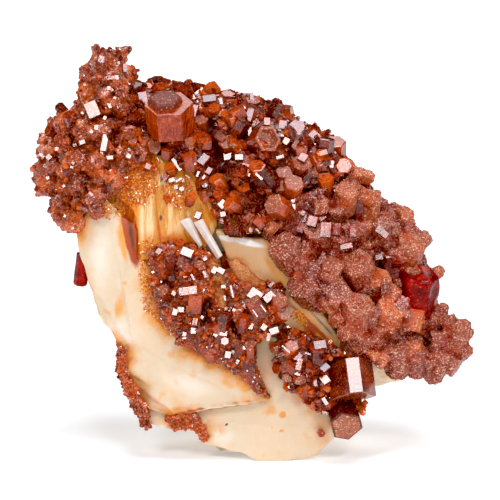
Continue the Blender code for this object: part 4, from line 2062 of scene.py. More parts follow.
@dataclass
class Studio:
    """The pale floor, the soft boxes, the even surrounding light and the camera."""

    floor_size: float = 12.0
    floor_colour: Colour = (0.91, 0.935, 0.965)
    surround: Colour = (0.94, 0.95, 1.0)
    surround_level: float = 0.03
    floor_glow: float = 0.28
    black: float = 0.010
    lights: tuple[SoftLight, ...] = (
        SoftLight(Lamp.ROOF, 26.0, 1.8, (0.88, 0.91, 1.0)),
        SoftLight(Lamp.KEY, 13.0, 0.80),
        SoftLight(Lamp.SECOND, 13.0, 0.78),
        SoftLight(Lamp.LOW, 11.0, 0.70, mirrored=False),
        SoftLight(Lamp.LEFT, 20.0, 0.35),
        SoftLight(Lamp.RIGHT, 20.0, 0.85),
        SoftLight(Lamp.BACK, 30.0, 0.8),
    )

    def build(self) -> None:
        """Sets up the whole studio."""
        self.lay_floor()
        for light in self.lights:
            light.hang()
        self.fill_surround()
        self.stand_camera()

    def lay_floor(self) -> None:
        """Lays the floor, with a finely uneven matt finish."""
        bpy.ops.object.select_all(action="DESELECT")
        bpy.ops.mesh.primitive_plane_add(size=self.floor_size, location=(0.0, 0.0, 0.0))
        floor = bpy.context.active_object
        floor.name = "floor"
        material, sheet, shader = new_material("floor_paper")
        cloud = sheet.add("TexNoise", {"Vector": sheet.place(), "Scale": 600.0, "Detail": 3.0})
        tone = sheet.mix(cloud.outputs["Fac"], self.floor_colour, tuple(c * 0.99 for c in self.floor_colour))
        sheet.feed(shader, {
            "Base Color": tone, "Roughness": 0.95, "Specular IOR Level": 0.1,
            "Emission Color": (1.0, 1.0, 1.0, 1.0), "Emission Strength": self.floor_glow})
        floor.data.materials.append(material)

    def fill_surround(self) -> None:
        """Gives the world an even pale light."""
        world = bpy.data.worlds.new("surround")
        world.use_nodes = True
        sky = world.node_tree.nodes["Background"]
        sky.inputs["Color"].default_value = (*self.surround, 1.0)
        sky.inputs["Strength"].default_value = self.surround_level
        bpy.context.scene.world = world

    def stand_camera(self) -> None:
        """Stands the camera at the viewpoint."""
        camera = bpy.data.cameras.new("camera")
        camera.lens, camera.sensor_width = VIEW.lens, VIEW.sensor
        camera.clip_start, camera.clip_end = VIEW.clip
        item = add_object("camera", camera)
        item.location = VIEW.eye
        item.rotation_euler = VIEW.toward.to_track_quat("Z", "Y").to_euler()
        scene = bpy.context.scene
        scene.camera = item
        scene.view_settings.view_transform = "Standard"
        scene.view_settings.look = "None"
        scene.view_settings.use_curve_mapping = True
        scene.view_settings.curve_mapping.black_level = (self.black, self.black, self.black)
        scene.view_settings.curve_mapping.update()


# ---------------------------------------------------------------------------------------------
# The specimen
# ---------------------------------------------------------------------------------------------

CREAM = BariteFinish("cream_barite")
# Its bright pale colour is also the painted light under the plate's right end.
PLATE = BariteFinish("plate_barite", peach_share=0.7, line_height=0.2, pale_and_highlight=(1.0, 0.85, 0.62))
# The middle blade's tan is partly its own colour and partly painted shade of the receding blade.
SHADED_BEIGE = BariteFinish("shaded_beige_barite", cream=(0.60, 0.40, 0.23), peach=(0.62, 0.32, 0.12),
                     pale_and_highlight=(0.90, 0.86, 0.82))
GOLDEN = BariteFinish("golden_barite", cream=(0.65, 0.31, 0.06), peach=(0.58, 0.20, 0.025), roughness=0.35,
                      pale_and_highlight=(0.88, 0.68, 0.38), gold=(0.80, 0.29, 0.03), rust=(0.55, 0.11, 0.008),
                      streaks=0.6, line_spacing=0.25, line_stretch=(1.0, 1.0, 0.08))
WHITE = BariteFinish("white_barite", cream=(0.78, 0.73, 0.69), peach=(0.52, 0.42, 0.37), peach_share=0.9,
                     roughness=0.25)

GLASSY = VanadiniteFinish("glassy_vanadinite", bright=(0.56, 0.085, 0.009), cap=(0.32, 0.095, 0.055),
                          dustiness=0.12, flecks=0.14, sheen=0.45)
BLOCKY = VanadiniteFinish("blocky_vanadinite", dustiness=0.15, roughness=0.10, flecks=0.18, sparkle_tilt=0.4)
FROSTED = VanadiniteFinish("frosted_vanadinite", deep=(0.090, 0.0025, 0.0015), middle=(0.26, 0.010, 0.004),
                           bright=(0.50, 0.070, 0.015), dustiness=0.10, roughness=0.14, frost=0.3,
                           coat=(0.29, 0.070, 0.038), warm_coat=(0.56, 0.145, 0.042), flecks=0.2,
                           pale_fleck_and_glint=(0.86, 0.50, 0.34), sparkle_tilt=0.7, sheen=0.35, sparkle_scale=8000.0)
CRUST_RED = VanadiniteFinish("crust_vanadinite", warm_coat=(0.70, 0.32, 0.10), dustiness=0.10, roughness=0.3,
                             flecks=0.16, sparkle_tilt=0.7)
DEEP = VanadiniteFinish("deep_vanadinite", middle=(0.16, 0.012, 0.002), bright=(0.38, 0.06, 0.008),
                        cap=(0.42, 0.12, 0.05), sheen=0.4, flecks=0.14, line_stretch=(1.0, 1.0, 0.12),
                        line_tint=0.5)
FIERY = VanadiniteFinish("fiery_vanadinite", line_stretch=(1.0, 1.0, 0.08), line_height=0.05, line_tint=1.6,
                         cap=(0.13, 0.020, 0.009), dustiness=0.02, flecks=0.05, unrest=0.15, grain=0.1,
                         frost=0.6, sheen=0.35)
RUBY = VanadiniteFinish("ruby_vanadinite", deep=(0.08, 0.0015, 0.0008), middle=(0.24, 0.003, 0.0012),
                        bright=(0.36, 0.012, 0.003), dustiness=0.0, flecks=0.04, roughness=0.25, unrest=0.9,
                        sheen=0.12)
SUGAR = VanadiniteFinish("sugar_vanadinite", deep=(0.60, 0.10, 0.006), middle=(0.80, 0.22, 0.015),
                         bright=(0.94, 0.44, 0.07), coat=(0.72, 0.22, 0.04), warm_coat=(0.90, 0.40, 0.10),
                         roughness=0.12, pale_fleck_and_glint=(0.97, 0.80, 0.52), flecks=0.2, glow=0.3)

GRAINS = (Shape.GRAIN,)
BLOCKS = (Shape.BLOCK, Shape.BLOCK, Shape.STEPPED, Shape.WEDGE)
KEY, SECOND, ROOF, RIGHT = Lamp.KEY, Lamp.SECOND, Lamp.ROOF, Lamp.RIGHT
STEPPED, HOPPER, SHARD, SLAB = Shape.STEPPED, Shape.HOPPER, Shape.SHARD, Shape.SLAB
PINK, GOLD, RUST, DARK_AND_SHADE, PALE_AND_HIGHLIGHT = Tone


def lit(col: float, row: float, radius: float, length: float, heading: float, tint: float = 0.5,
        out: float = 0.7, lamp: Lamp = Lamp.KEY) -> Placed:
    """Sets a crystal whose wide front side mirrors a lamp.

    Args:
        col: the picture column of the side's middle.
        row: the picture row of the side's middle.
        radius: half the crystal's width in millimetres.
        length: its length in millimetres.
        heading: the way its axis points in the picture, in degrees.
        tint: 0 for deep red to 1 for bright.
        out: how far it stands off the ground, in millimetres.
        lamp: the lamp it mirrors.

    Returns:
        The crystal.
    """
    return Placed(col, row, radius, length, heading, 40.0, tint, out, Shape.SLAB, lamp, True)


def leaning(col: float, row: float, radius: float, length: float, heading: float, rise: float, tint: float,
            out: float) -> Placed:
    """Sets a slab that lies on its side.

    Args:
        col: the picture column of the side's middle.
        row: the picture row of the side's middle.
        radius: half the crystal's width in millimetres.
        length: its length in millimetres.
        heading: the way its axis points in the picture, in degrees.
        rise: how far its axis leans out of the picture, in degrees.
        tint: 0 for deep red to 1 for bright.
        out: how far it stands off the ground, in millimetres.

    Returns:
        The crystal.
    """
    return Placed(col, row, radius, length, heading, rise, tint, out, Shape.SLAB, on_side=True)


# The cleft's rust and gold are stains; its dark streak is painted shade.
GROOVE = (
    streak(RUST, (104, 168), (120, 200), 1.6, 1.3), streak(RUST, (116, 190), (128, 214), 2.0, 1.3),
    streak(RUST, (125, 202), (136, 262), 2.0, 2.8), streak(DARK_AND_SHADE, (128, 212), (135, 258), 0.8, 0.8),
    dab(GOLD, 129, 222, 3.4, 9.5, -8, 1.4, 0.2),
)
# Front blade: the dark and rust lines under the lower edge are partly painted shadow, the pink lobe there and
# the pink dabs at the left edge are partly painted shade, and the pale dabs are partly painted highlights.
FRONT_MARKS = (
    dab(RUST, 102, 211, 3.0, 2.7, 0, 0.75, 0.1), dab(RUST, 119, 207, 1.1, 3.0, -10, 0.9),
    streak(GOLD, (119, 228), (127, 264), 1.1, 0.9), dab(GOLD, 120, 306, 1.8, 6.0, -8, 0.7, 0.0),
    dab(GOLD, 125, 283, 1.0, 0.9, 0, 0.7, 0.0), streak(GOLD, (116, 296), (117, 322), 0.5, 0.7),
    dab(GOLD, 90, 296, 0.7, 3.0, -12, 0.8), streak(PINK, (141, 389), (174, 412), 0.5, 1.0),
    streak(PINK, (138, 396), (170, 417), 0.4, 0.8), dab(PINK, 160, 414, 7.5, 3.4, -15, 0.4),
    dab(GOLD, 132, 383, 1.4, 3.6, 35, 0.7), streak(RUST, (172, 415), (210, 407), 0.45, 0.9),
    streak(DARK_AND_SHADE, (178, 413), (213, 407), 0.22, 0.7), streak(RUST, (213, 406), (270, 399), 0.25, 0.55),
    dab(GOLD, 205, 352, 7.0, 1.6, -32, 0.6, 0.2), dab(GOLD, 244, 385, 1.2, 1.2, 0, 0.6),
    dab(PALE_AND_HIGHLIGHT, 100, 255, 3.4, 11.0, 0, 0.6, 0.0), dab(PALE_AND_HIGHLIGHT, 120, 332, 6.0, 5.0, -30, 0.5, 0.0),
    dab(PALE_AND_HIGHLIGHT, 190, 385, 9.0, 3.0, -20, 0.5, 0.0), dab(PINK, 88, 300, 1.6, 7.0, -14, 0.6, 0.0),
    dab(PINK, 107, 334, 2.0, 4.0, 20, 0.5, 0.0),
)
FOOT_MARKS = (
    dab(GOLD, 283, 415, 1.0, 1.1, 0, 1.3), dab(GOLD, 281.5, 430.5, 0.5, 0.5, 0, 1.2),
    dab(GOLD, 273, 428, 0.4, 0.6, 0, 1.0), dab(DARK_AND_SHADE, 226.5, 425, 0.36, 0.36, 0, 1.6),
    dab(PINK, 266, 368, 2.8, 7.5, -12, 0.6, 0.1), dab(PINK, 300, 398, 5.0, 3.0, -25, 0.7, 0.1),
    dab(PINK, 316, 412, 2.6, 4.0, 10, 0.5, 0.1), dab(RUST, 195, 424, 0.9, 3.4, -8, 0.75, 0.2),
    dab(GOLD, 198, 430, 1.1, 3.2, -8, 0.8, 0.2), streak(GOLD, (236, 372), (268, 402), 1.0, 0.55),
    dab(PALE_AND_HIGHLIGHT, 222, 436, 3.4, 3.0, 0, 0.45, 0.3),
)
# Middle blade: the dark streak along the top is the painted shadow of the crust above, the pale streaks under
# it a painted highlight on the top edge, and the dark streak by the plate painted shade in the gap.
MIDDLE_MARKS = (
    streak(DARK_AND_SHADE, (222, 230), (268, 240), 0.7, 0.7), streak(PALE_AND_HIGHLIGHT, (220, 237), (234, 240), 0.8, 1.6),
    streak(PALE_AND_HIGHLIGHT, (233, 239), (262, 246), 0.9, 1.7), streak(GOLD, (222, 252), (250, 300), 0.8, 0.7),
    streak(GOLD, (262, 254), (286, 290), 0.9, 0.8), dab(PINK, 262, 284, 4.0, 2.4, -30, 0.6, 0.1),
    dab(GOLD, 282, 296, 3.0, 1.6, -25, 0.8, 0.2), dab(GOLD, 308, 324, 7.0, 2.6, -50, 1.2, 0.3),
    streak(RUST, (286, 300), (338, 350), 0.6, 1.3), streak(DARK_AND_SHADE, (300, 300), (342, 345), 0.35, 0.8),
    dab(RUST, 310, 330, 3.0, 1.3, -50, 1.2, 0.2),
)
# The pale dab at the plate's right end is painted light on its shaded underside.
PLATE_MARKS = (
    dab(GOLD, 306, 322, 7.0, 3.6, -52, 1.7, 0.3), dab(PALE_AND_HIGHLIGHT, 392, 373, 9.0, 2.4, 6, 1.8, 0.2),
    dab(RUST, 120, 225, 3.0, 7.0, 0, 1.2),
)
FAN_MARKS = (
    dab(RUST, 138, 170, 6.0, 4.0, 0, 1.5, 0.3), dab(RUST, 128, 184, 4.0, 5.0, 0, 1.0, 0.3),
    dab(GOLD, 131, 184, 7.0, 7.0, 0, 0.9, 0.3), dab(PALE_AND_HIGHLIGHT, 142, 220, 1.0, 8.5, 2, 1.1, 0.2),
    dab(PALE_AND_HIGHLIGHT, 150, 226, 1.5, 6.5, 3, 1.0, 0.2), dab(PALE_AND_HIGHLIGHT, 149, 263, 2.6, 2.6, 0, 0.9, 0.2),
    dab(PALE_AND_HIGHLIGHT, 178, 226, 2.4, 3.4, 20, 0.5, 0.1), dab(DARK_AND_SHADE, 161, 218, 0.6, 1.0, 0, 0.7),
    dab(RUST, 180, 200, 3.5, 3.5, 0, 0.7, 0.2), streak(RUST, (157, 210), (163, 262), 0.5, 0.8),
)
BLADE_LEDGES = (
    Ledge((132, 386), (172, 412), 0.6), Ledge((128, 374), (152, 388), 0.45),
    Ledge((146, 350), (236, 396), 0.35, 3.0), Ledge((119, 262), (130, 330), 0.45, 2.0),
    Ledge((100, 300), (132, 352), 0.30, 3.0), Ledge((176, 411), (262, 400), -0.4, 1.0),
)


def barite_pieces() -> list[BaritePiece]:
    """Lists the barite.

    Returns:
        The seven pieces, not yet built.
    """
    return [
        BaritePiece("barite_back_plate", "barite_cream", PLATE, voxel=0.42, swell=0.35, chip=0.45,
                    marks=GROOVE + PLATE_MARKS),
        BaritePiece("barite_front_blade", "barite_cream", CREAM, marks=GROOVE + FRONT_MARKS,
                    ledges=BLADE_LEDGES, voxel=0.26, chip=0.35),
        BaritePiece("barite_foot_blade", "barite_cream", CREAM, marks=FOOT_MARKS, voxel=0.28, chip=0.3,
                    stain=0.5),
        BaritePiece("barite_middle_blade", "barite_cream", SHADED_BEIGE, marks=MIDDLE_MARKS, voxel=0.22, chip=0.3,
                    stain=0.45),
        FibrousFan("barite_fibrous_fan", "barite_gold", GOLDEN, marks=GROOVE + FAN_MARKS, voxel=0.18),
        Lath("barite_lath_short", "barite_white", WHITE, taper=0.5, grow=0.0),
        Lath("barite_lath_long", "barite_white", WHITE, taper=0.2, grow=0.04),
    ]


# Hollows are pressed into the ground and darkened with painted shade.
UPPER_HOLLOWS = (
    Patch(219, 158, 4.2, 5.2, 10, 2.8), Patch(244, 140, 6.4, 2.2, -46, 2.2),
    Patch(212, 126, 2.4, 2.8, 0, 2.0), Patch(162, 150, 3.0, 1.8, 60, 1.8),
    Patch(128, 122, 3.0, 2.4, 20, 2.0), Patch(292, 150, 1.6, 3.0, 10, 1.4),
    Patch(226, 182, 2.0, 3.0, 30, 1.4), Patch(326, 192, 2.0, 2.2, 0, 1.4),
    Patch(250, 190, 2.4, 2.0, 0, 1.2), Patch(240, 206, 2.0, 2.0, 0, 1.2), Patch(198, 176, 1.6, 1.8, 0, 1.0),
    Patch(270, 168, 1.4, 2.0, 0, 1.0), Patch(252, 224, 3.0, 1.2, -20, 1.0),
)
UPPER_CRYSTALS = (
    lit(143, 97, 0.95, 1.1, 8, 0.6, lamp=ROOF), Placed(137, 88, 0.9, 2.4, 100, 25, 0.8),
    Placed(131, 98, 1.0, 2.6, 110, 40, 0.5), Placed(130, 108, 1.0, 2.6, 90, 40, 0.3),
    Placed(149, 86, 0.9, 2.2, 80, 30, 0.7), Placed(166, 84, 1.05, 2.8, 98, 25, 0.85),
    Placed(177, 87, 0.85, 2.2, 75, 35, 0.6, worn=1.0), lit(197, 90, 0.7, 1.25, 62, 0.7),
    Placed(204, 92, 0.8, 2.2, 60, 25, 0.8), lit(192, 97, 0.55, 0.8, 20, 0.8, lamp=SECOND),
    lit(208, 102, 0.65, 1.3, 75, 0.6, lamp=ROOF), lit(220.5, 102, 0.35, 1.1, 100, 0.6),
    lit(233.5, 103, 0.5, 0.95, 84, 0.6), lit(221, 113, 0.25, 1.1, 55, 0.8, lamp=SECOND),
    lit(242, 110, 0.3, 1.2, 50, 0.95, lamp=SECOND), Placed(252, 101, 1.25, 3.0, 82, 25, 0.35, 1.2),
    Placed(228, 94, 1.0, 2.4, 85, 30, 0.5), lit(252, 97, 0.8, 0.5, 5, out=1.5, lamp=ROOF),
    Placed(274, 107, 1.25, 2.8, 118, 35, 0.35, 1.1), lit(286.5, 110, 0.45, 0.9, 120, lamp=ROOF),
    lit(267, 121, 0.7, 0.8, 0, 0.7, lamp=ROOF), lit(283, 124.5, 0.6, 1.3, 80, 0.4, 1.0, ROOF),
    Placed(297, 128, 1.35, 3.0, 80, 30, 0.45, 1.5, lamp=ROOF),
    lit(313, 136, 0.75, 1.7, 52, 0.35, 1.3, ROOF), Placed(308, 140, 1.1, 3.0, 50, 15, 0.25, 1.0),
    Placed(325, 139, 1.35, 4.2, 84, 12, 0.12, 1.2), Placed(335, 142, 1.55, 3.4, 88, 35, 0.55, 1.4),
    Placed(344, 166, 1.15, 2.6, 30, 30, 0.6, 1.0, lamp=KEY), lit(331, 164, 0.45, 1.0, 80, 0.6, lamp=SECOND),
    Placed(325, 178, 1.15, 2.6, 100, 45, 0.9, shape=STEPPED),
    Placed(268, 139, 2.0, 4.2, 20, 62, 0.45, 1.4, HOPPER, roll=10, worn=0.9),
    lit(254.5, 123.5, 0.42, 1.35, 36, 0.4, 1.6), lit(250, 132, 0.28, 1.4, 98, 0.4, 1.3),
    Placed(227, 142, 1.2, 3.0, 100, 55, 0.4, worn=1.0), lit(228, 156, 0.6, 1.15, 8, 0.4, 0.9),
    lit(239, 157, 0.45, 1.05, 0, out=0.9), lit(233.5, 163, 0.22, 1.1, -28, out=1.0),
    lit(191, 133.5, 0.42, 0.8, 32, out=1.0), lit(229, 126, 0.4, 0.9, 120, 0.4, lamp=SECOND),
    lit(278, 145, 0.32, 0.9, 70, 0.6, 1.2), lit(286, 141, 0.48, 0.9, 60, 0.6, 1.2),
    lit(280, 157, 0.25, 1.0, 20, 0.7, 1.0, SECOND), lit(284, 160, 0.2, 0.9, -30, 0.7, 1.0, SECOND),
    Placed(302, 163, 1.45, 3.2, 70, 50, 0.6, 1.2, worn=0.8), lit(303, 157, 0.6, 1.2, 60, 0.6, 1.6, ROOF),
    Placed(299, 146, 1.1, 2.4, 90, 50, 0.5, worn=1.0), lit(247, 174, 0.25, 0.9, -25, 0.6, 1.0),
    lit(259, 176.5, 0.2, 1.3, -40, 0.6, 1.0), lit(164.5, 177, 0.55, 1.0, 60, 0.7, 0.9),
    lit(172, 180, 0.3, 0.8, 20, 0.7, 0.9), lit(179, 180, 0.15, 1.0, 30, 0.8, 0.9),
    lit(183, 180, 0.25, 0.6, 110, 0.8, 0.8, SECOND), lit(176, 187, 0.3, 0.6, 100, 0.8, 0.8),
    lit(182, 189, 0.3, 0.6, 40, 0.8, 0.8, SECOND), lit(177, 164.5, 0.28, 2.0, -54, 0.7, 1.1),
    Placed(170.5, 167, 0.85, 2.2, 100, 60, 0.95, 1.0), lit(157, 160, 0.3, 0.5, 20, 0.8, lamp=SECOND),
    lit(148, 166, 0.5, 0.8, 70, 0.8, lamp=ROOF), lit(203.5, 159, 0.6, 1.6, 58, 0.3, 1.2, ROOF),
    lit(209, 170.5, 0.4, 1.0, 60, 0.3, 1.1, ROOF), lit(191.5, 164.5, 0.16, 1.2, 8, 0.4, 1.2),
    lit(198, 174, 0.18, 0.8, 70, 0.4, 0.9), lit(204, 177, 0.2, 0.6, 60, 0.4, 0.9),
    lit(188, 177, 0.1, 0.8, -40, 0.4, 0.9), Placed(188, 154, 1.1, 2.4, 96, 35, 0.7, 1.2),
    Placed(203, 136, 1.45, 3.4, 60, 42, 0.4, 1.3, SLAB),
    Placed(201, 120, 1.0, 2.6, 100, 45, 0.85, worn=1.0), Placed(188, 147, 0.9, 2.2, 90, 50, 0.45, worn=1.0),
    lit(219, 180, 0.45, 1.0, 32, 0.9, 1.2), Placed(216, 178, 1.05, 2.4, 122, 30, 0.9, 1.0),
    lit(222.5, 204, 0.55, 1.05, 42, 0.6, 1.1), Placed(228, 203, 1.0, 2.2, 150, 35, 0.75, 0.9),
    lit(198, 215, 0.45, 0.95, 68, 0.6), lit(223, 214, 0.4, 0.7, 10), lit(221.5, 221, 0.36, 0.7, 80),
    lit(249, 232, 0.25, 0.8, 5), lit(258.5, 213, 0.15, 0.7, -50),
    lit(258, 231, 0.14, 0.8, -50, lamp=SECOND), lit(293, 208, 0.35, 1.1, 85, 0.6, 1.0),
    lit(293, 201, 0.25, 0.5, 0, 0.6, 1.0), Placed(257, 166, 1.25, 3.0, 95, 50, 0.75, 1.1, STEPPED),
    Placed(243, 186, 1.05, 2.4, 60, 50, 0.9), Placed(245, 168, 0.9, 2.0, 80, 55, 0.8),
    Placed(155, 146, 1.2, 3.0, 10, 50, 0.55, 1.1, worn=1.0),
    Placed(225, 178, 0.8, 2.0, 70, 60, 0.5, worn=1.0), Placed(235, 195, 0.8, 2.0, 45, 50, 0.6),
    Placed(218, 193, 0.8, 2.0, 120, 50, 0.8), Placed(262, 190, 0.8, 2.2, 60, 50, 0.3),
    Placed(273, 204, 1.5, 3.2, 150, 45, 0.6, 1.2, worn=1.0),
    Placed(284, 172, 1.2, 3.0, 80, 50, 0.6, worn=1.0),
    Placed(294, 183, 1.4, 3.2, 70, 55, 0.8, 1.2, worn=1.0),
    Placed(280, 186, 1.0, 2.6, 100, 50, 0.6, worn=1.0), lit(189, 109, 1.05, 2.2, -12, out=1.6, lamp=ROOF),
    Placed(208, 150, 1.0, 2.6, 110, 35, 0.3), Placed(243, 120, 1.2, 3.2, 60, 25, 0.15),
    Placed(214, 108, 1.0, 2.4, 110, 45, 0.7), Placed(228, 114, 1.0, 2.4, 80, 45, 0.75),
    Placed(168, 196, 0.6, 1.6, 100, 40, 0.9), Placed(192, 196, 0.7, 1.8, 70, 50, 0.7),
)

KNOB_BLOCKS = (
    Placed(99, 59, 1.1, 3.0, 95, 35, 0.6, 0.8), Placed(118, 64, 1.3, 3.0, 60, 35, 0.7, 0.8),
    Placed(82, 89, 1.0, 2.4, 160, 45, 1.0), Placed(107, 74, 1.0, 2.6, 100, 55, 0.6),
    Placed(92, 76, 1.0, 2.4, 140, 50, 0.8), Placed(119, 84, 1.0, 2.4, 40, 50, 0.5),
    Placed(104, 92, 1.0, 2.4, 90, 60, 0.7),
)
KNOB_GLINTS = (
    lit(101.5, 59.5, 0.42, 0.9, 80, out=1.0), lit(125.5, 68, 0.35, 1.1, 90, out=0.8, lamp=RIGHT),
    lit(111, 78, 0.28, 1.0, 5, out=0.8), lit(112, 90, 0.22, 0.4, 30, 0.6, 0.6),
    lit(115, 98, 0.22, 0.4, 70, 0.6, 0.6),
)

LEFT_HOLLOWS = (
    Patch(116, 118, 2.4, 1.8, 0, 1.8), Patch(123, 131, 1.4, 1.6, 0, 1.4), Patch(84, 150, 1.6, 1.6, 0, 0.9),
    Patch(60, 170, 1.4, 1.6, 0, 0.8), Patch(100, 168, 2.0, 1.4, 30, 0.9),
)
LEFT_CRYSTALS = (
    lit(86.5, 96, 0.75, 1.0, 8, out=1.0, lamp=ROOF), lit(92.5, 109.5, 0.95, 2.2, 112, out=1.5),
    Placed(59, 106, 0.7, 2.0, 130, 35, 0.2), Placed(69, 115, 0.95, 2.6, 110, 35, 0.2, 1.0),
    Placed(49, 129, 1.0, 2.8, 150, 30, 0.3, 0.9), Placed(131, 117, 1.7, 4.4, 78, 22, 0.1, 1.0),
    Placed(105, 143, 0.75, 2.3, 80, 20, 0.5, 1.2, SHARD, KEY, True), lit(110, 157.5, 0.3, 0.9, 0, 0.6),
    lit(105, 118, 0.25, 0.5, 60, 0.6), lit(120.5, 110.5, 0.25, 0.6, 45, 0.6),
    lit(102, 152, 0.22, 0.5, 80, 0.6, lamp=SECOND), lit(49, 157, 0.4, 0.7, 40), lit(57, 149, 0.28, 0.5, 80),
    lit(75, 145, 0.25, 0.5, 20), lit(45, 166, 0.25, 0.4, 60), lit(48, 178, 0.25, 0.4, 10),
    lit(52, 183, 0.22, 0.4, 70), lit(64, 186, 0.22, 0.4, 30), lit(73, 163, 0.25, 0.4, 50),
    lit(72, 167, 0.2, 0.4, 0, lamp=SECOND), lit(66, 201, 0.22, 0.4, 20, 0.8),
    lit(65, 216, 0.2, 0.35, 60, 0.9), lit(73, 228, 0.2, 0.35, 20, 0.9),
)
LEFT_BLOCKS = (
    Placed(60, 139, 1.3, 3.4, 140, 40, 0.45, 0.9), Placed(84, 132, 1.4, 3.6, 100, 50, 0.55, 1.0),
    Placed(76, 158, 1.4, 3.4, 110, 55, 0.45, 0.9), Placed(52, 166, 1.2, 3.0, 160, 40, 0.4, 0.8),
    Placed(62, 190, 1.2, 3.0, 190, 45, 0.55, 0.8), Placed(84, 182, 1.3, 3.2, 80, 60, 0.5, 0.9),
    Placed(104, 128, 1.2, 3.0, 70, 50, 0.5, 0.9), Placed(98, 160, 1.2, 3.0, 60, 55, 0.6, 0.9),
    Placed(58, 208, 1.0, 2.4, 200, 40, 0.8), Placed(68, 212, 0.9, 2.2, 220, 45, 0.9, 0.6),
)

DRUSE_HOLLOWS = (
    Patch(350, 286, 3.0, 2.4, -30, 1.6), Patch(321, 251, 1.5, 1.6, 0, 1.2),
    Patch(317, 194, 4.6, 2.0, -20, 1.4), Patch(310, 246, 1.2, 3.0, 0, 1.0),
    Patch(344, 318, 1.4, 2.4, 0, 1.2), Patch(359, 216, 1.3, 5.0, 0, 1.4),
    Patch(393, 266, 4.6, 1.8, -55, 1.5), Patch(340, 300, 4.0, 1.0, -58, 1.0),
    Patch(429, 340, 1.0, 4.6, 8, 1.2), Patch(380, 256, 1.4, 1.6, 0, 1.0), Patch(380, 300, 1.0, 4.0, 0, 1.0),
    Patch(404, 318, 0.8, 3.0, 12, 1.0),
)
DRUSE_BALD = (
    Patch(418, 298, 4.6, 5.4, 20, 1.0, 0.7), Patch(396, 266, 4.6, 2.6, -55, 1.0, 0.6),
)
DRUSE_BLOCKS = (
    Placed(283, 245, 2.3, 5.0, 120, 50, 0.35, 1.4), Placed(301, 284, 2.3, 5.0, 140, 50, 0.35, 1.5),
    leaning(329, 280, 1.7, 6.4, -52, 10, 0.35, 1.9), Placed(355, 262, 2.4, 5.0, 110, 48, 0.55, 1.4),
    Placed(379, 276, 1.8, 4.2, 80, 45, 0.95, 1.4), Placed(393, 306, 2.2, 4.8, 70, 45, 0.95, 1.5),
    leaning(413, 321, 1.35, 3.0, 82, 15, 1.1, 1.8), Placed(359, 303, 2.2, 4.8, 80, 45, 0.6, 1.6),
    Placed(364, 331, 2.4, 5.2, 60, 40, 0.45, 1.6), Placed(397, 347, 1.7, 4.4, 95, 35, 0.35, 1.4),
    Placed(419, 350, 1.3, 4.2, 84, 35, 0.4, 1.3), leaning(442, 350, 1.45, 4.6, 97, 10, 0.4, 1.8),
    Placed(459, 334, 1.4, 3.4, 70, 40, 0.55, 1.1), Placed(468, 348, 1.1, 3.0, 40, 35, 0.45, 0.8),
    Placed(457, 358, 1.3, 3.4, -80, 45, 0.5, 0.9), Placed(470, 330, 0.8, 2.2, 60, 30, 0.6, 0.5),
    Placed(430, 357, 1.35, 3.8, 98, 35, 0.4, 1.1), Placed(415, 338, 1.2, 3.4, 85, 35, 0.45, 0.9),
    Placed(441, 370, 0.8, 2.2, 60, 45, 0.45, 0.5), Placed(438, 316, 1.2, 3.6, 60, 35, 0.3, 0.8),
    leaning(369, 212, 1.5, 5.2, 85, 12, 0.75, 1.7), Placed(392, 216, 1.9, 4.4, 96, 38, 0.6, 1.4, roll=20),
    Placed(412, 242, 2.1, 4.8, 70, 42, 0.65, 1.5), Placed(409, 263, 1.9, 4.4, 70, 40, 0.5, 1.3),
    Placed(388, 240, 1.3, 3.6, 100, 40, 0.3, 1.1), Placed(310, 240, 1.1, 4.0, 92, 25, 0.4, 1.1),
    Placed(317, 229, 2.0, 4.6, 90, 55, 0.45, 1.5), Placed(347, 190, 1.7, 4.2, 80, 45, 0.7, 1.2),
    Placed(281, 207, 2.0, 4.2, 120, 55, 0.45, 1.2), Placed(335, 207, 1.5, 4.0, 85, 45, 0.45, 1.2),
    Placed(341, 234, 1.5, 3.6, 60, 50, 0.4, 1.1), Placed(334, 322, 1.2, 3.2, 220, 45, 0.6, 0.8),
    Placed(380, 325, 1.3, 3.6, 60, 50, 0.6, 1.1), Placed(452, 323, 1.2, 3.4, 80, 40, 0.6, 1.0),
    Placed(402, 364, 1.0, 2.6, 80, 50, 0.4, 0.8), Placed(372, 352, 1.2, 3.0, 20, 50, 0.5, 0.9),
    Placed(343, 336, 1.1, 3.0, 230, 45, 0.6, 0.8), Placed(297, 262, 1.3, 3.2, 170, 50, 0.4, 1.0),
    Placed(321, 306, 1.1, 3.0, 200, 45, 0.45, 0.8),
)
DRUSE_GLINTS = (
    lit(300.5, 227.5, 0.55, 1.3, 75, out=1.0), lit(312, 221, 0.72, 1.35, 78, out=1.3),
    lit(320, 216.5, 0.72, 1.2, 35, out=1.4), lit(325.5, 229.5, 0.8, 2.0, 88, out=1.1),
    lit(335, 229, 0.75, 1.6, 84, out=1.2), lit(303, 213, 0.3, 0.6, 60, out=0.9),
    lit(294, 208, 0.3, 1.0, 85, 0.6, 1.0), lit(353, 232, 0.5, 1.2, 84, out=1.0, lamp=SECOND),
    lit(382, 232, 0.5, 1.8, -38, 0.2, 1.3, SECOND), lit(379, 257, 0.4, 0.95, 5, 0.4, 1.0),
    lit(346, 246, 0.4, 1.6, 12, 0.6, 1.3, SECOND), lit(322, 256, 0.25, 1.2, 60, out=1.0, lamp=SECOND),
    leaning(393, 265, 1.3, 4.6, -55, 10, 0.25, 0.9), leaning(359, 215, 0.6, 5.0, 88, 8, 0.3, 1.4),
    lit(388, 257, 0.15, 0.6, 5, 0.4, 1.0), lit(304, 243, 0.25, 0.8, 85, out=1.0, lamp=SECOND),
)

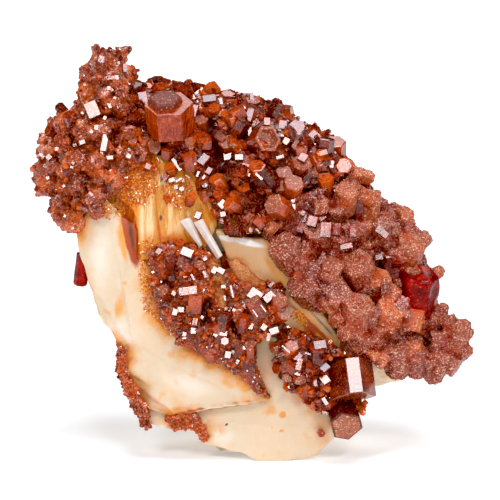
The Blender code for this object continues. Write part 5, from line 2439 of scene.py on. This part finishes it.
CENTRE_HOLLOWS = (
    Patch(206, 313, 1.6, 4.6, -10, 1.3), Patch(236, 330, 1.2, 3.4, 20, 0.9),
    Patch(168, 284, 1.6, 2.4, 0, 0.6), Patch(228, 322, 2.2, 1.6, 0, 0.8),
)
CENTRE_BALD = (
    Patch(217, 272, 5.0, 2.2, -75, 1.6, 0.6), Patch(220, 296, 4.0, 1.7, -75, 1.2, 0.6),
    Patch(245, 270, 7.4, 3.8, -28, 6.0, 0.8), Patch(230, 263, 3.6, 2.4, -20, 4.4, 0.7),
)
CENTRE_HEART = (
    Patch(262, 305, 9.0, 10.0, 0, 1.0, 0.5),
)
CENTRE_SLOPE = (
    Patch(212, 298, 24.0, 13.0, -45, 1.0, 0.6),
)
CENTRE_EDGES = (
    Patch(150, 288, 2.2, 7.0, 12, 1.0, 0.2), Patch(172, 327, 9.0, 1.7, -42, 1.0, 0.2),
    Patch(222, 368, 6.0, 1.2, -30, 1.0, 0.2),
)
CENTRE_CRYSTALS = (
    lit(187, 252, 0.62, 1.6, -22, 0.6, 0.9), lit(159, 251, 0.4, 0.9, 60, 0.6, lamp=ROOF),
    lit(214.5, 270, 0.4, 0.9, 60, out=0.9), lit(221, 270.5, 0.42, 1.0, -28, out=1.1),
    Placed(227, 266, 0.7, 2.0, -75, 35, 0.4, 0.6), lit(188, 290.5, 0.62, 2.4, 4, out=1.2),
    lit(186, 298.5, 0.3, 0.75, 5, 0.7, 1.0, SECOND), leaning(195, 305, 1.0, 2.6, 84, 20, 0.75, 1.0),
    lit(188.5, 309, 0.38, 0.85, 88, 0.7, 1.3), lit(175, 312, 0.38, 0.85, 80, 0.8, 0.9),
    lit(195, 321.5, 0.38, 1.0, 84, 0.6, 1.0), lit(193.5, 330.5, 0.4, 0.8, 90, 0.6, 0.9),
    lit(184.5, 334, 0.3, 0.55, 80, 0.7, 0.8), lit(184.5, 338, 0.16, 0.5, 0, 0.7, 0.8),
    lit(205, 274, 0.28, 1.0, 110, out=0.9, lamp=SECOND),
    lit(193, 277, 0.18, 0.9, 120, out=0.8, lamp=SECOND), lit(174, 293, 0.32, 0.6, 60, 0.9, 0.8, SECOND),
    lit(153, 272, 0.2, 0.4, 30, 0.8, 0.6), Placed(224, 312, 1.2, 4.2, 82, 25, 0.12, 0.6),
    lit(232, 291.5, 0.14, 1.7, 108, out=0.9), lit(223.5, 286.5, 0.25, 0.6, 0, 0.6, 0.8),
    lit(225, 298, 0.14, 0.7, 100), lit(255, 294.5, 0.85, 1.75, -32, out=1.5),
    lit(247.5, 305, 0.5, 1.15, 55, 0.4, 1.2, ROOF), lit(269, 296.5, 0.6, 1.5, 38, 0.4, 1.3),
    Placed(258, 310, 1.1, 2.6, 120, 30, 0.5, 1.3, SLAB, on_side=True, worn=1.0),
    lit(262, 306, 0.11, 1.9, -52, out=1.7), lit(254.5, 312, 0.10, 1.6, -55, out=1.5),
    lit(250.5, 326, 0.4, 0.8, 75, 0.6, 0.9), lit(264, 327, 0.42, 0.8, 60, 0.6, 0.9, SECOND),
    lit(274, 330.5, 0.5, 1.2, 20, 0.6, 0.9), lit(268.5, 337, 0.3, 1.0, 85, 0.6, 0.9),
    lit(226, 308.5, 0.25, 0.55, 70), lit(229.5, 310, 0.16, 0.4, 70), lit(219, 310, 0.14, 0.3, 20),
    lit(202, 317, 0.25, 0.45, 60, 0.4, 0.8, SECOND), lit(223.5, 333, 0.42, 1.0, -8, out=0.9, lamp=SECOND),
    Placed(225, 341, 0.62, 1.8, 0, 60, 0.4, 1.0, lamp=KEY), lit(228, 354.5, 0.45, 0.9, 80, out=0.8),
    lit(245, 347.5, 0.28, 0.6, 0, lamp=SECOND), lit(250, 348, 0.2, 0.6, 110),
    lit(233, 352, 0.25, 0.5, 60, out=0.8, lamp=SECOND), Placed(200, 265, 0.9, 2.2, 60, 45, 0.5, worn=1.0),
    Placed(188, 267, 0.9, 2.2, 90, 50, 0.35), Placed(172, 258, 0.8, 2.0, 80, 50, 0.35),
    Placed(163, 290, 0.9, 2.2, 130, 50, 0.4, worn=1.0), Placed(180, 242, 0.7, 1.8, 90, 40, 0.6),
    Placed(244, 316, 0.8, 2.4, 80, 35, 0.35), Placed(250, 343, 0.9, 2.2, 90, 45, 0.4, worn=1.0),
    Placed(213, 325, 0.8, 2.4, 130, 30, 0.5), Placed(171, 273, 0.8, 2.2, 100, 40, 0.25),
    Placed(212, 352, 0.7, 1.8, 80, 50, 0.6), Placed(280, 300, 1.2, 2.6, 60, 55, 0.5, 1.0, worn=1.0),
    Placed(284, 313, 1.1, 2.6, 30, 55, 0.5, worn=1.0),
)
LOWER_CRYSTALS = (
    lit(281.5, 354, 0.3, 1.5, 12, 0.4, 1.1), lit(286, 349, 0.12, 1.5, -48, 0.4, 1.3),
    lit(310, 354, 0.13, 1.4, -18, 0.3, 1.3), lit(299, 364, 0.42, 1.6, 80, out=1.2),
    lit(297.5, 371, 0.6, 0.9, -15, out=1.2), Placed(301, 380, 0.9, 2.2, -60, 50, 0.8, worn=1.0),
    Placed(318, 345, 1.4, 3.4, 90, 40, 0.1, 1.1), lit(320, 344, 0.7, 1.6, 10, 0.1, 1.3, ROOF),
    lit(325, 367, 0.5, 1.2, 50, 0.3, 1.3, ROOF),
    Placed(315, 381, 0.45, 1.6, 90, 20, 0.4, 1.2, SHARD, ROOF, True),
    Placed(292, 346, 1.0, 2.4, 70, 55, 0.9, worn=1.0), Placed(302, 339, 0.6, 1.8, 120, 30, 0.6),
    Placed(313, 365, 1.1, 2.6, 60, 50, 0.3), Placed(285, 366, 1.0, 2.4, 160, 45, 0.35, worn=1.0),
    Placed(276, 369, 0.8, 2.0, 200, 45, 0.5), Placed(287, 378, 0.8, 2.0, 230, 45, 0.4, worn=1.0),
    Placed(323, 356, 0.8, 2.2, 60, 45, 0.5), Placed(333, 350, 0.8, 2.0, 30, 50, 0.4),
    Placed(297, 356, 0.8, 2.2, 90, 50, 0.3), lit(303, 347, 0.12, 0.6, -45, 0.4, 1.0, SECOND),
)
NEAR_PRISM_CRYSTALS = (
    lit(332, 397, 0.35, 1.1, 55, 0.3, 0.9), lit(325, 401, 0.28, 1.1, 125, 0.3, 0.9),
    lit(354, 397, 0.5, 1.5, -60, 0.8, 0.8, SECOND), Placed(345, 396, 0.8, 2.2, 90, 40, 0.8, 0.8),
    Placed(337, 405, 1.0, 2.6, -40, 35, 0.2, 0.8), lit(325, 412.5, 0.18, 0.8, -18, 0.4, 0.8),
    lit(347, 406, 0.12, 0.8, 45, 0.4, 0.8), Placed(327, 406, 0.7, 2.0, 220, 40, 0.3),
    lit(349, 409, 0.14, 0.5, 10, 0.4, 0.8),
)


def crusts() -> list[Crust]:
    """Lists the crusts.

    Returns:
        The eight crusts, not yet built.
    """
    return [
        Crust("vanadinite_upper_crust", "vanadinite_red", CRUST_RED, GLASSY,
              (Sowing(3600, 0.22, 1.15, tilt=85.0, least_tilt=25.0, tint=(0.0, 0.9), edge_glow=0.1, worn=0.4),
               Sowing(5200, 0.10, 0.26, family=0.0, tint=(0.0, 0.9), edge_glow=0.2, glinting=0.14)),
              placed=UPPER_CRYSTALS, hollows=UPPER_HOLLOWS, shrink=0.7, seed=3),
        Crust("vanadinite_knob", "vanadinite_red", BLOCKY, BLOCKY,
              (Sowing(500, 0.16, 0.42, glinting=0.2),
               Sowing(5000, 0.06, 0.13, shapes=GRAINS, family=0.0, packing=0.5, coat=0.5)),
              placed=KNOB_GLINTS, blocks=KNOB_BLOCKS, block_sowings=(Sowing(300, 0.4, 1.0, tint=(0.4, 1.0)),),
              shrink=0.9, coat_level=0.4, seed=4),
        Crust("vanadinite_left_druse", "vanadinite_red", BLOCKY, BLOCKY,
              (Sowing(700, 0.18, 0.5, glinting=0.08),
               Sowing(9000, 0.06, 0.13, shapes=GRAINS, family=0.0, packing=0.5, coat=0.4)),
              placed=LEFT_CRYSTALS, blocks=LEFT_BLOCKS, hollows=LEFT_HOLLOWS, shrink=1.5, coat_level=0.45,
              block_sowings=(Sowing(500, 0.5, 1.3, tint=(0.2, 0.8)),), seed=5),
        Crust("vanadinite_right_druse", "vanadinite_druse", FROSTED, FROSTED,
              (Sowing(14000, 0.06, 0.14, shapes=GRAINS, packing=0.45, family=0.0, tint=(0.2, 1.0), coat=0.9,
                      glinting=0.03),),
              placed=DRUSE_GLINTS, blocks=DRUSE_BLOCKS, hollows=DRUSE_HOLLOWS, bald=DRUSE_BALD,
              block_sowings=(Sowing(700, 0.5, 1.5, (1.6, 2.6), 45.0, shapes=BLOCKS, tint=(0.2, 0.8),
                                    packing=0.8, family=0.2),), shrink=1.7, coat_level=0.9, seed=6),
        Crust("vanadinite_centre_cluster", "vanadinite_red", CRUST_RED, GLASSY,
              (Sowing(1500, 0.25, 0.8, tilt=80.0, least_tilt=20.0, within=CENTRE_HEART),
               Sowing(2600, 0.14, 0.5, tilt=80.0, least_tilt=15.0, tint=(0.4, 1.2), glinting=0.08,
                      within=CENTRE_SLOPE),
               Sowing(3000, 0.07, 0.15, family=0.0, coat=0.8, tint=(0.7, 1.3), packing=0.5,
                      within=CENTRE_EDGES),
               Sowing(6500, 0.07, 0.17, family=0.0, coat=0.3, tint=(0.4, 1.2), glinting=0.05)),
              placed=CENTRE_CRYSTALS, hollows=CENTRE_HOLLOWS, bald=CENTRE_BALD, bald_coat=1.0, shrink=0.3,
              seed=7),
        Crust("vanadinite_lower_cluster", "vanadinite_red", CRUST_RED, GLASSY,
              (Sowing(1100, 0.18, 0.7, glinting=0.1), Sowing(2400, 0.09, 0.22, family=0.0, glinting=0.1)),
              placed=LOWER_CRYSTALS + NEAR_PRISM_CRYSTALS, shrink=0.5, seed=8),
        Crust("vanadinite_rim_crust", "vanadinite_deep", CRUST_RED, GLASSY,
              (Sowing(2600, 0.08, 0.3, tint=(0.3, 1.1), coat=0.15),), seed=9, voxel=0.2, shrink=0.6,
              hug=0.45, round_off=2, ground_tint=0.8),
        Crust("vanadinite_notch_crust", "vanadinite_deep", CRUST_RED, GLASSY,
              (Sowing(1500, 0.07, 0.26, tint=(0.6, 1.2), coat=0.3),), seed=10, voxel=0.2, shrink=0.5,
              hug=0.5, round_off=2, ground_tint=0.9),
    ]


STREWN = (
    Patch(132, 182, 7.0, 6.6, 0, 1.0, 0.4), Patch(108, 209, 4.6, 2.4, -10, 0.8, 0.2),
    Patch(178, 194, 4.8, 3.8, -20, 0.9, 0.3), Patch(150, 255, 3.0, 5.0, 0, 0.6, 0.2),
    Patch(166, 325, 9.0, 1.3, -42, 1.2, 0.2), Patch(146, 286, 1.5, 7.5, 8, 1.2, 0.2),
    Patch(225, 366, 5.0, 1.2, -25, 0.5, 0.2), Patch(300, 318, 3.0, 1.6, -50, 0.5, 0.2),
    Patch(318, 305, 4.6, 0.9, -48, 0.9, 0.2), Patch(104, 210, 2.4, 2.0, 0, 0.35, 0.2),
)
STREWN_DEEP = (
    Patch(142, 163, 4.4, 2.2, -8, 1.3, 0.2), Patch(122, 180, 2.2, 3.0, 30, 0.9, 0.2),
)
SPECKLES = Speckles(
    "vanadinite_upper_crust", "vanadinite_red", SUGAR,
    (Sowing(51000, 0.055, 0.14, family=0.0, packing=0.5, tint=(-0.1, 0.9), worn=0.0, glinting=0.04,
            within=STREWN),
     Sowing(16000, 0.13, 0.42, family=0.4, tint=(-0.6, 0.3), worn=0.0, glinting=0.08, within=STREWN_DEEP)),
)


def prisms() -> list[SinglePrism]:
    """Lists the crystals that stand alone.

    Returns:
        The six prisms, not yet built.
    """
    return [
        SinglePrism("vanadinite_tipped_prism", "vanadinite_red", FIERY, (-11.2, -3.7, 44.7),
                    (-0.06, -0.36, 0.93), 3.3, 4.2, tint=0.5, worn_above=1.03,
                    steps=((0.24, 0.0, -0.16, 0.13), (0.03, 0.15), (0.10, 0.03))),
        SinglePrism("vanadinite_glossy_prism", "vanadinite_deep", DEEP, (12.8, -9.8, 14.2),
                    (0.12, -0.40, -0.91), 3.3, 4.8, steps=((0.03, 0.02),), waist=0.0, bevel=0.08, tint=0.45,
                    worn=0.1,
                    sides=((-52, 0.72), (8, 0.95), (68, 0.72), (128, 0.92), (188, 0.75), (248, 0.92))),
        SinglePrism("vanadinite_end_prism", "vanadinite_deep", DEEP, (11.9, -8.4, 7.0),
                    (0.12, -0.90, -0.34), 2.4, 3.4, front=(0.0, 0.0, 1.0), steps=((0.12, 0.05),), tint=0.25,
                    sides=((16, 0.80), (74, 0.88), (134, 0.82), (194, 0.90), (256, 0.80), (314, 0.88))),
        SinglePrism("vanadinite_edge_crystal", "vanadinite_deep", RUBY, (-23.1, -2.4, 27.6),
                    (-0.12, 0.0, -0.99), 1.0, 4.2, tint=0.5, worn=0.3, bevel=0.25),
        SinglePrism("vanadinite_right_druse", "vanadinite_druse", RUBY, (21.7, -3.0, 19.4),
                    (0.10, -0.30, 0.95), 2.9, 5.9, rings=(0.3, 0.7), waist=0.03, bevel=0.9, rounds=3, melt=14,
                    crease_angle=35.0, tint=0.45, worn=0.0),
        SinglePrism("vanadinite_foot_crystal", "vanadinite_deep", FIERY, (8.9, -8.3, 4.1),
                    (0.1, -1.0, 0.1), 0.55, 1.5, front=(0.0, 0.0, 1.0), rings=(0.5,), bevel=0.03, tint=0.7,
                    worn=0.5),
    ]


def main() -> None:
    """Builds the studio and the specimen."""
    logging.basicConfig(level=logging.INFO, format="%(message)s")
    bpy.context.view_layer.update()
    studio = Studio()
    studio.build()
    effects = SharedEffects()
    bench = PatternBench()
    patterns = bench.build()
    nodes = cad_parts
    vanadinite = tree_of([nodes[n] for n in nodes if n.startswith("vanadinite")])
    barite = [piece.build(effects, vanadinite) for piece in barite_pieces()]
    made = list(barite)
    for crust in crusts():
        others = tree_of([nodes[n] for n in nodes if n != crust.node])
        made += crust.build(effects, patterns, others)
    made.append(SPECKLES.build(effects, patterns, barite))
    made += [prism.build(effects, bench) for prism in prisms()]
    for item in made:
        item.data.calc_loop_triangles()
        LOG.info("%s: %d triangles", item.name, len(item.data.loop_triangles))
    LOG.info("all: %d triangles", sum(len(item.data.loop_triangles) for item in made))


if __name__ == "__main__":
    main()
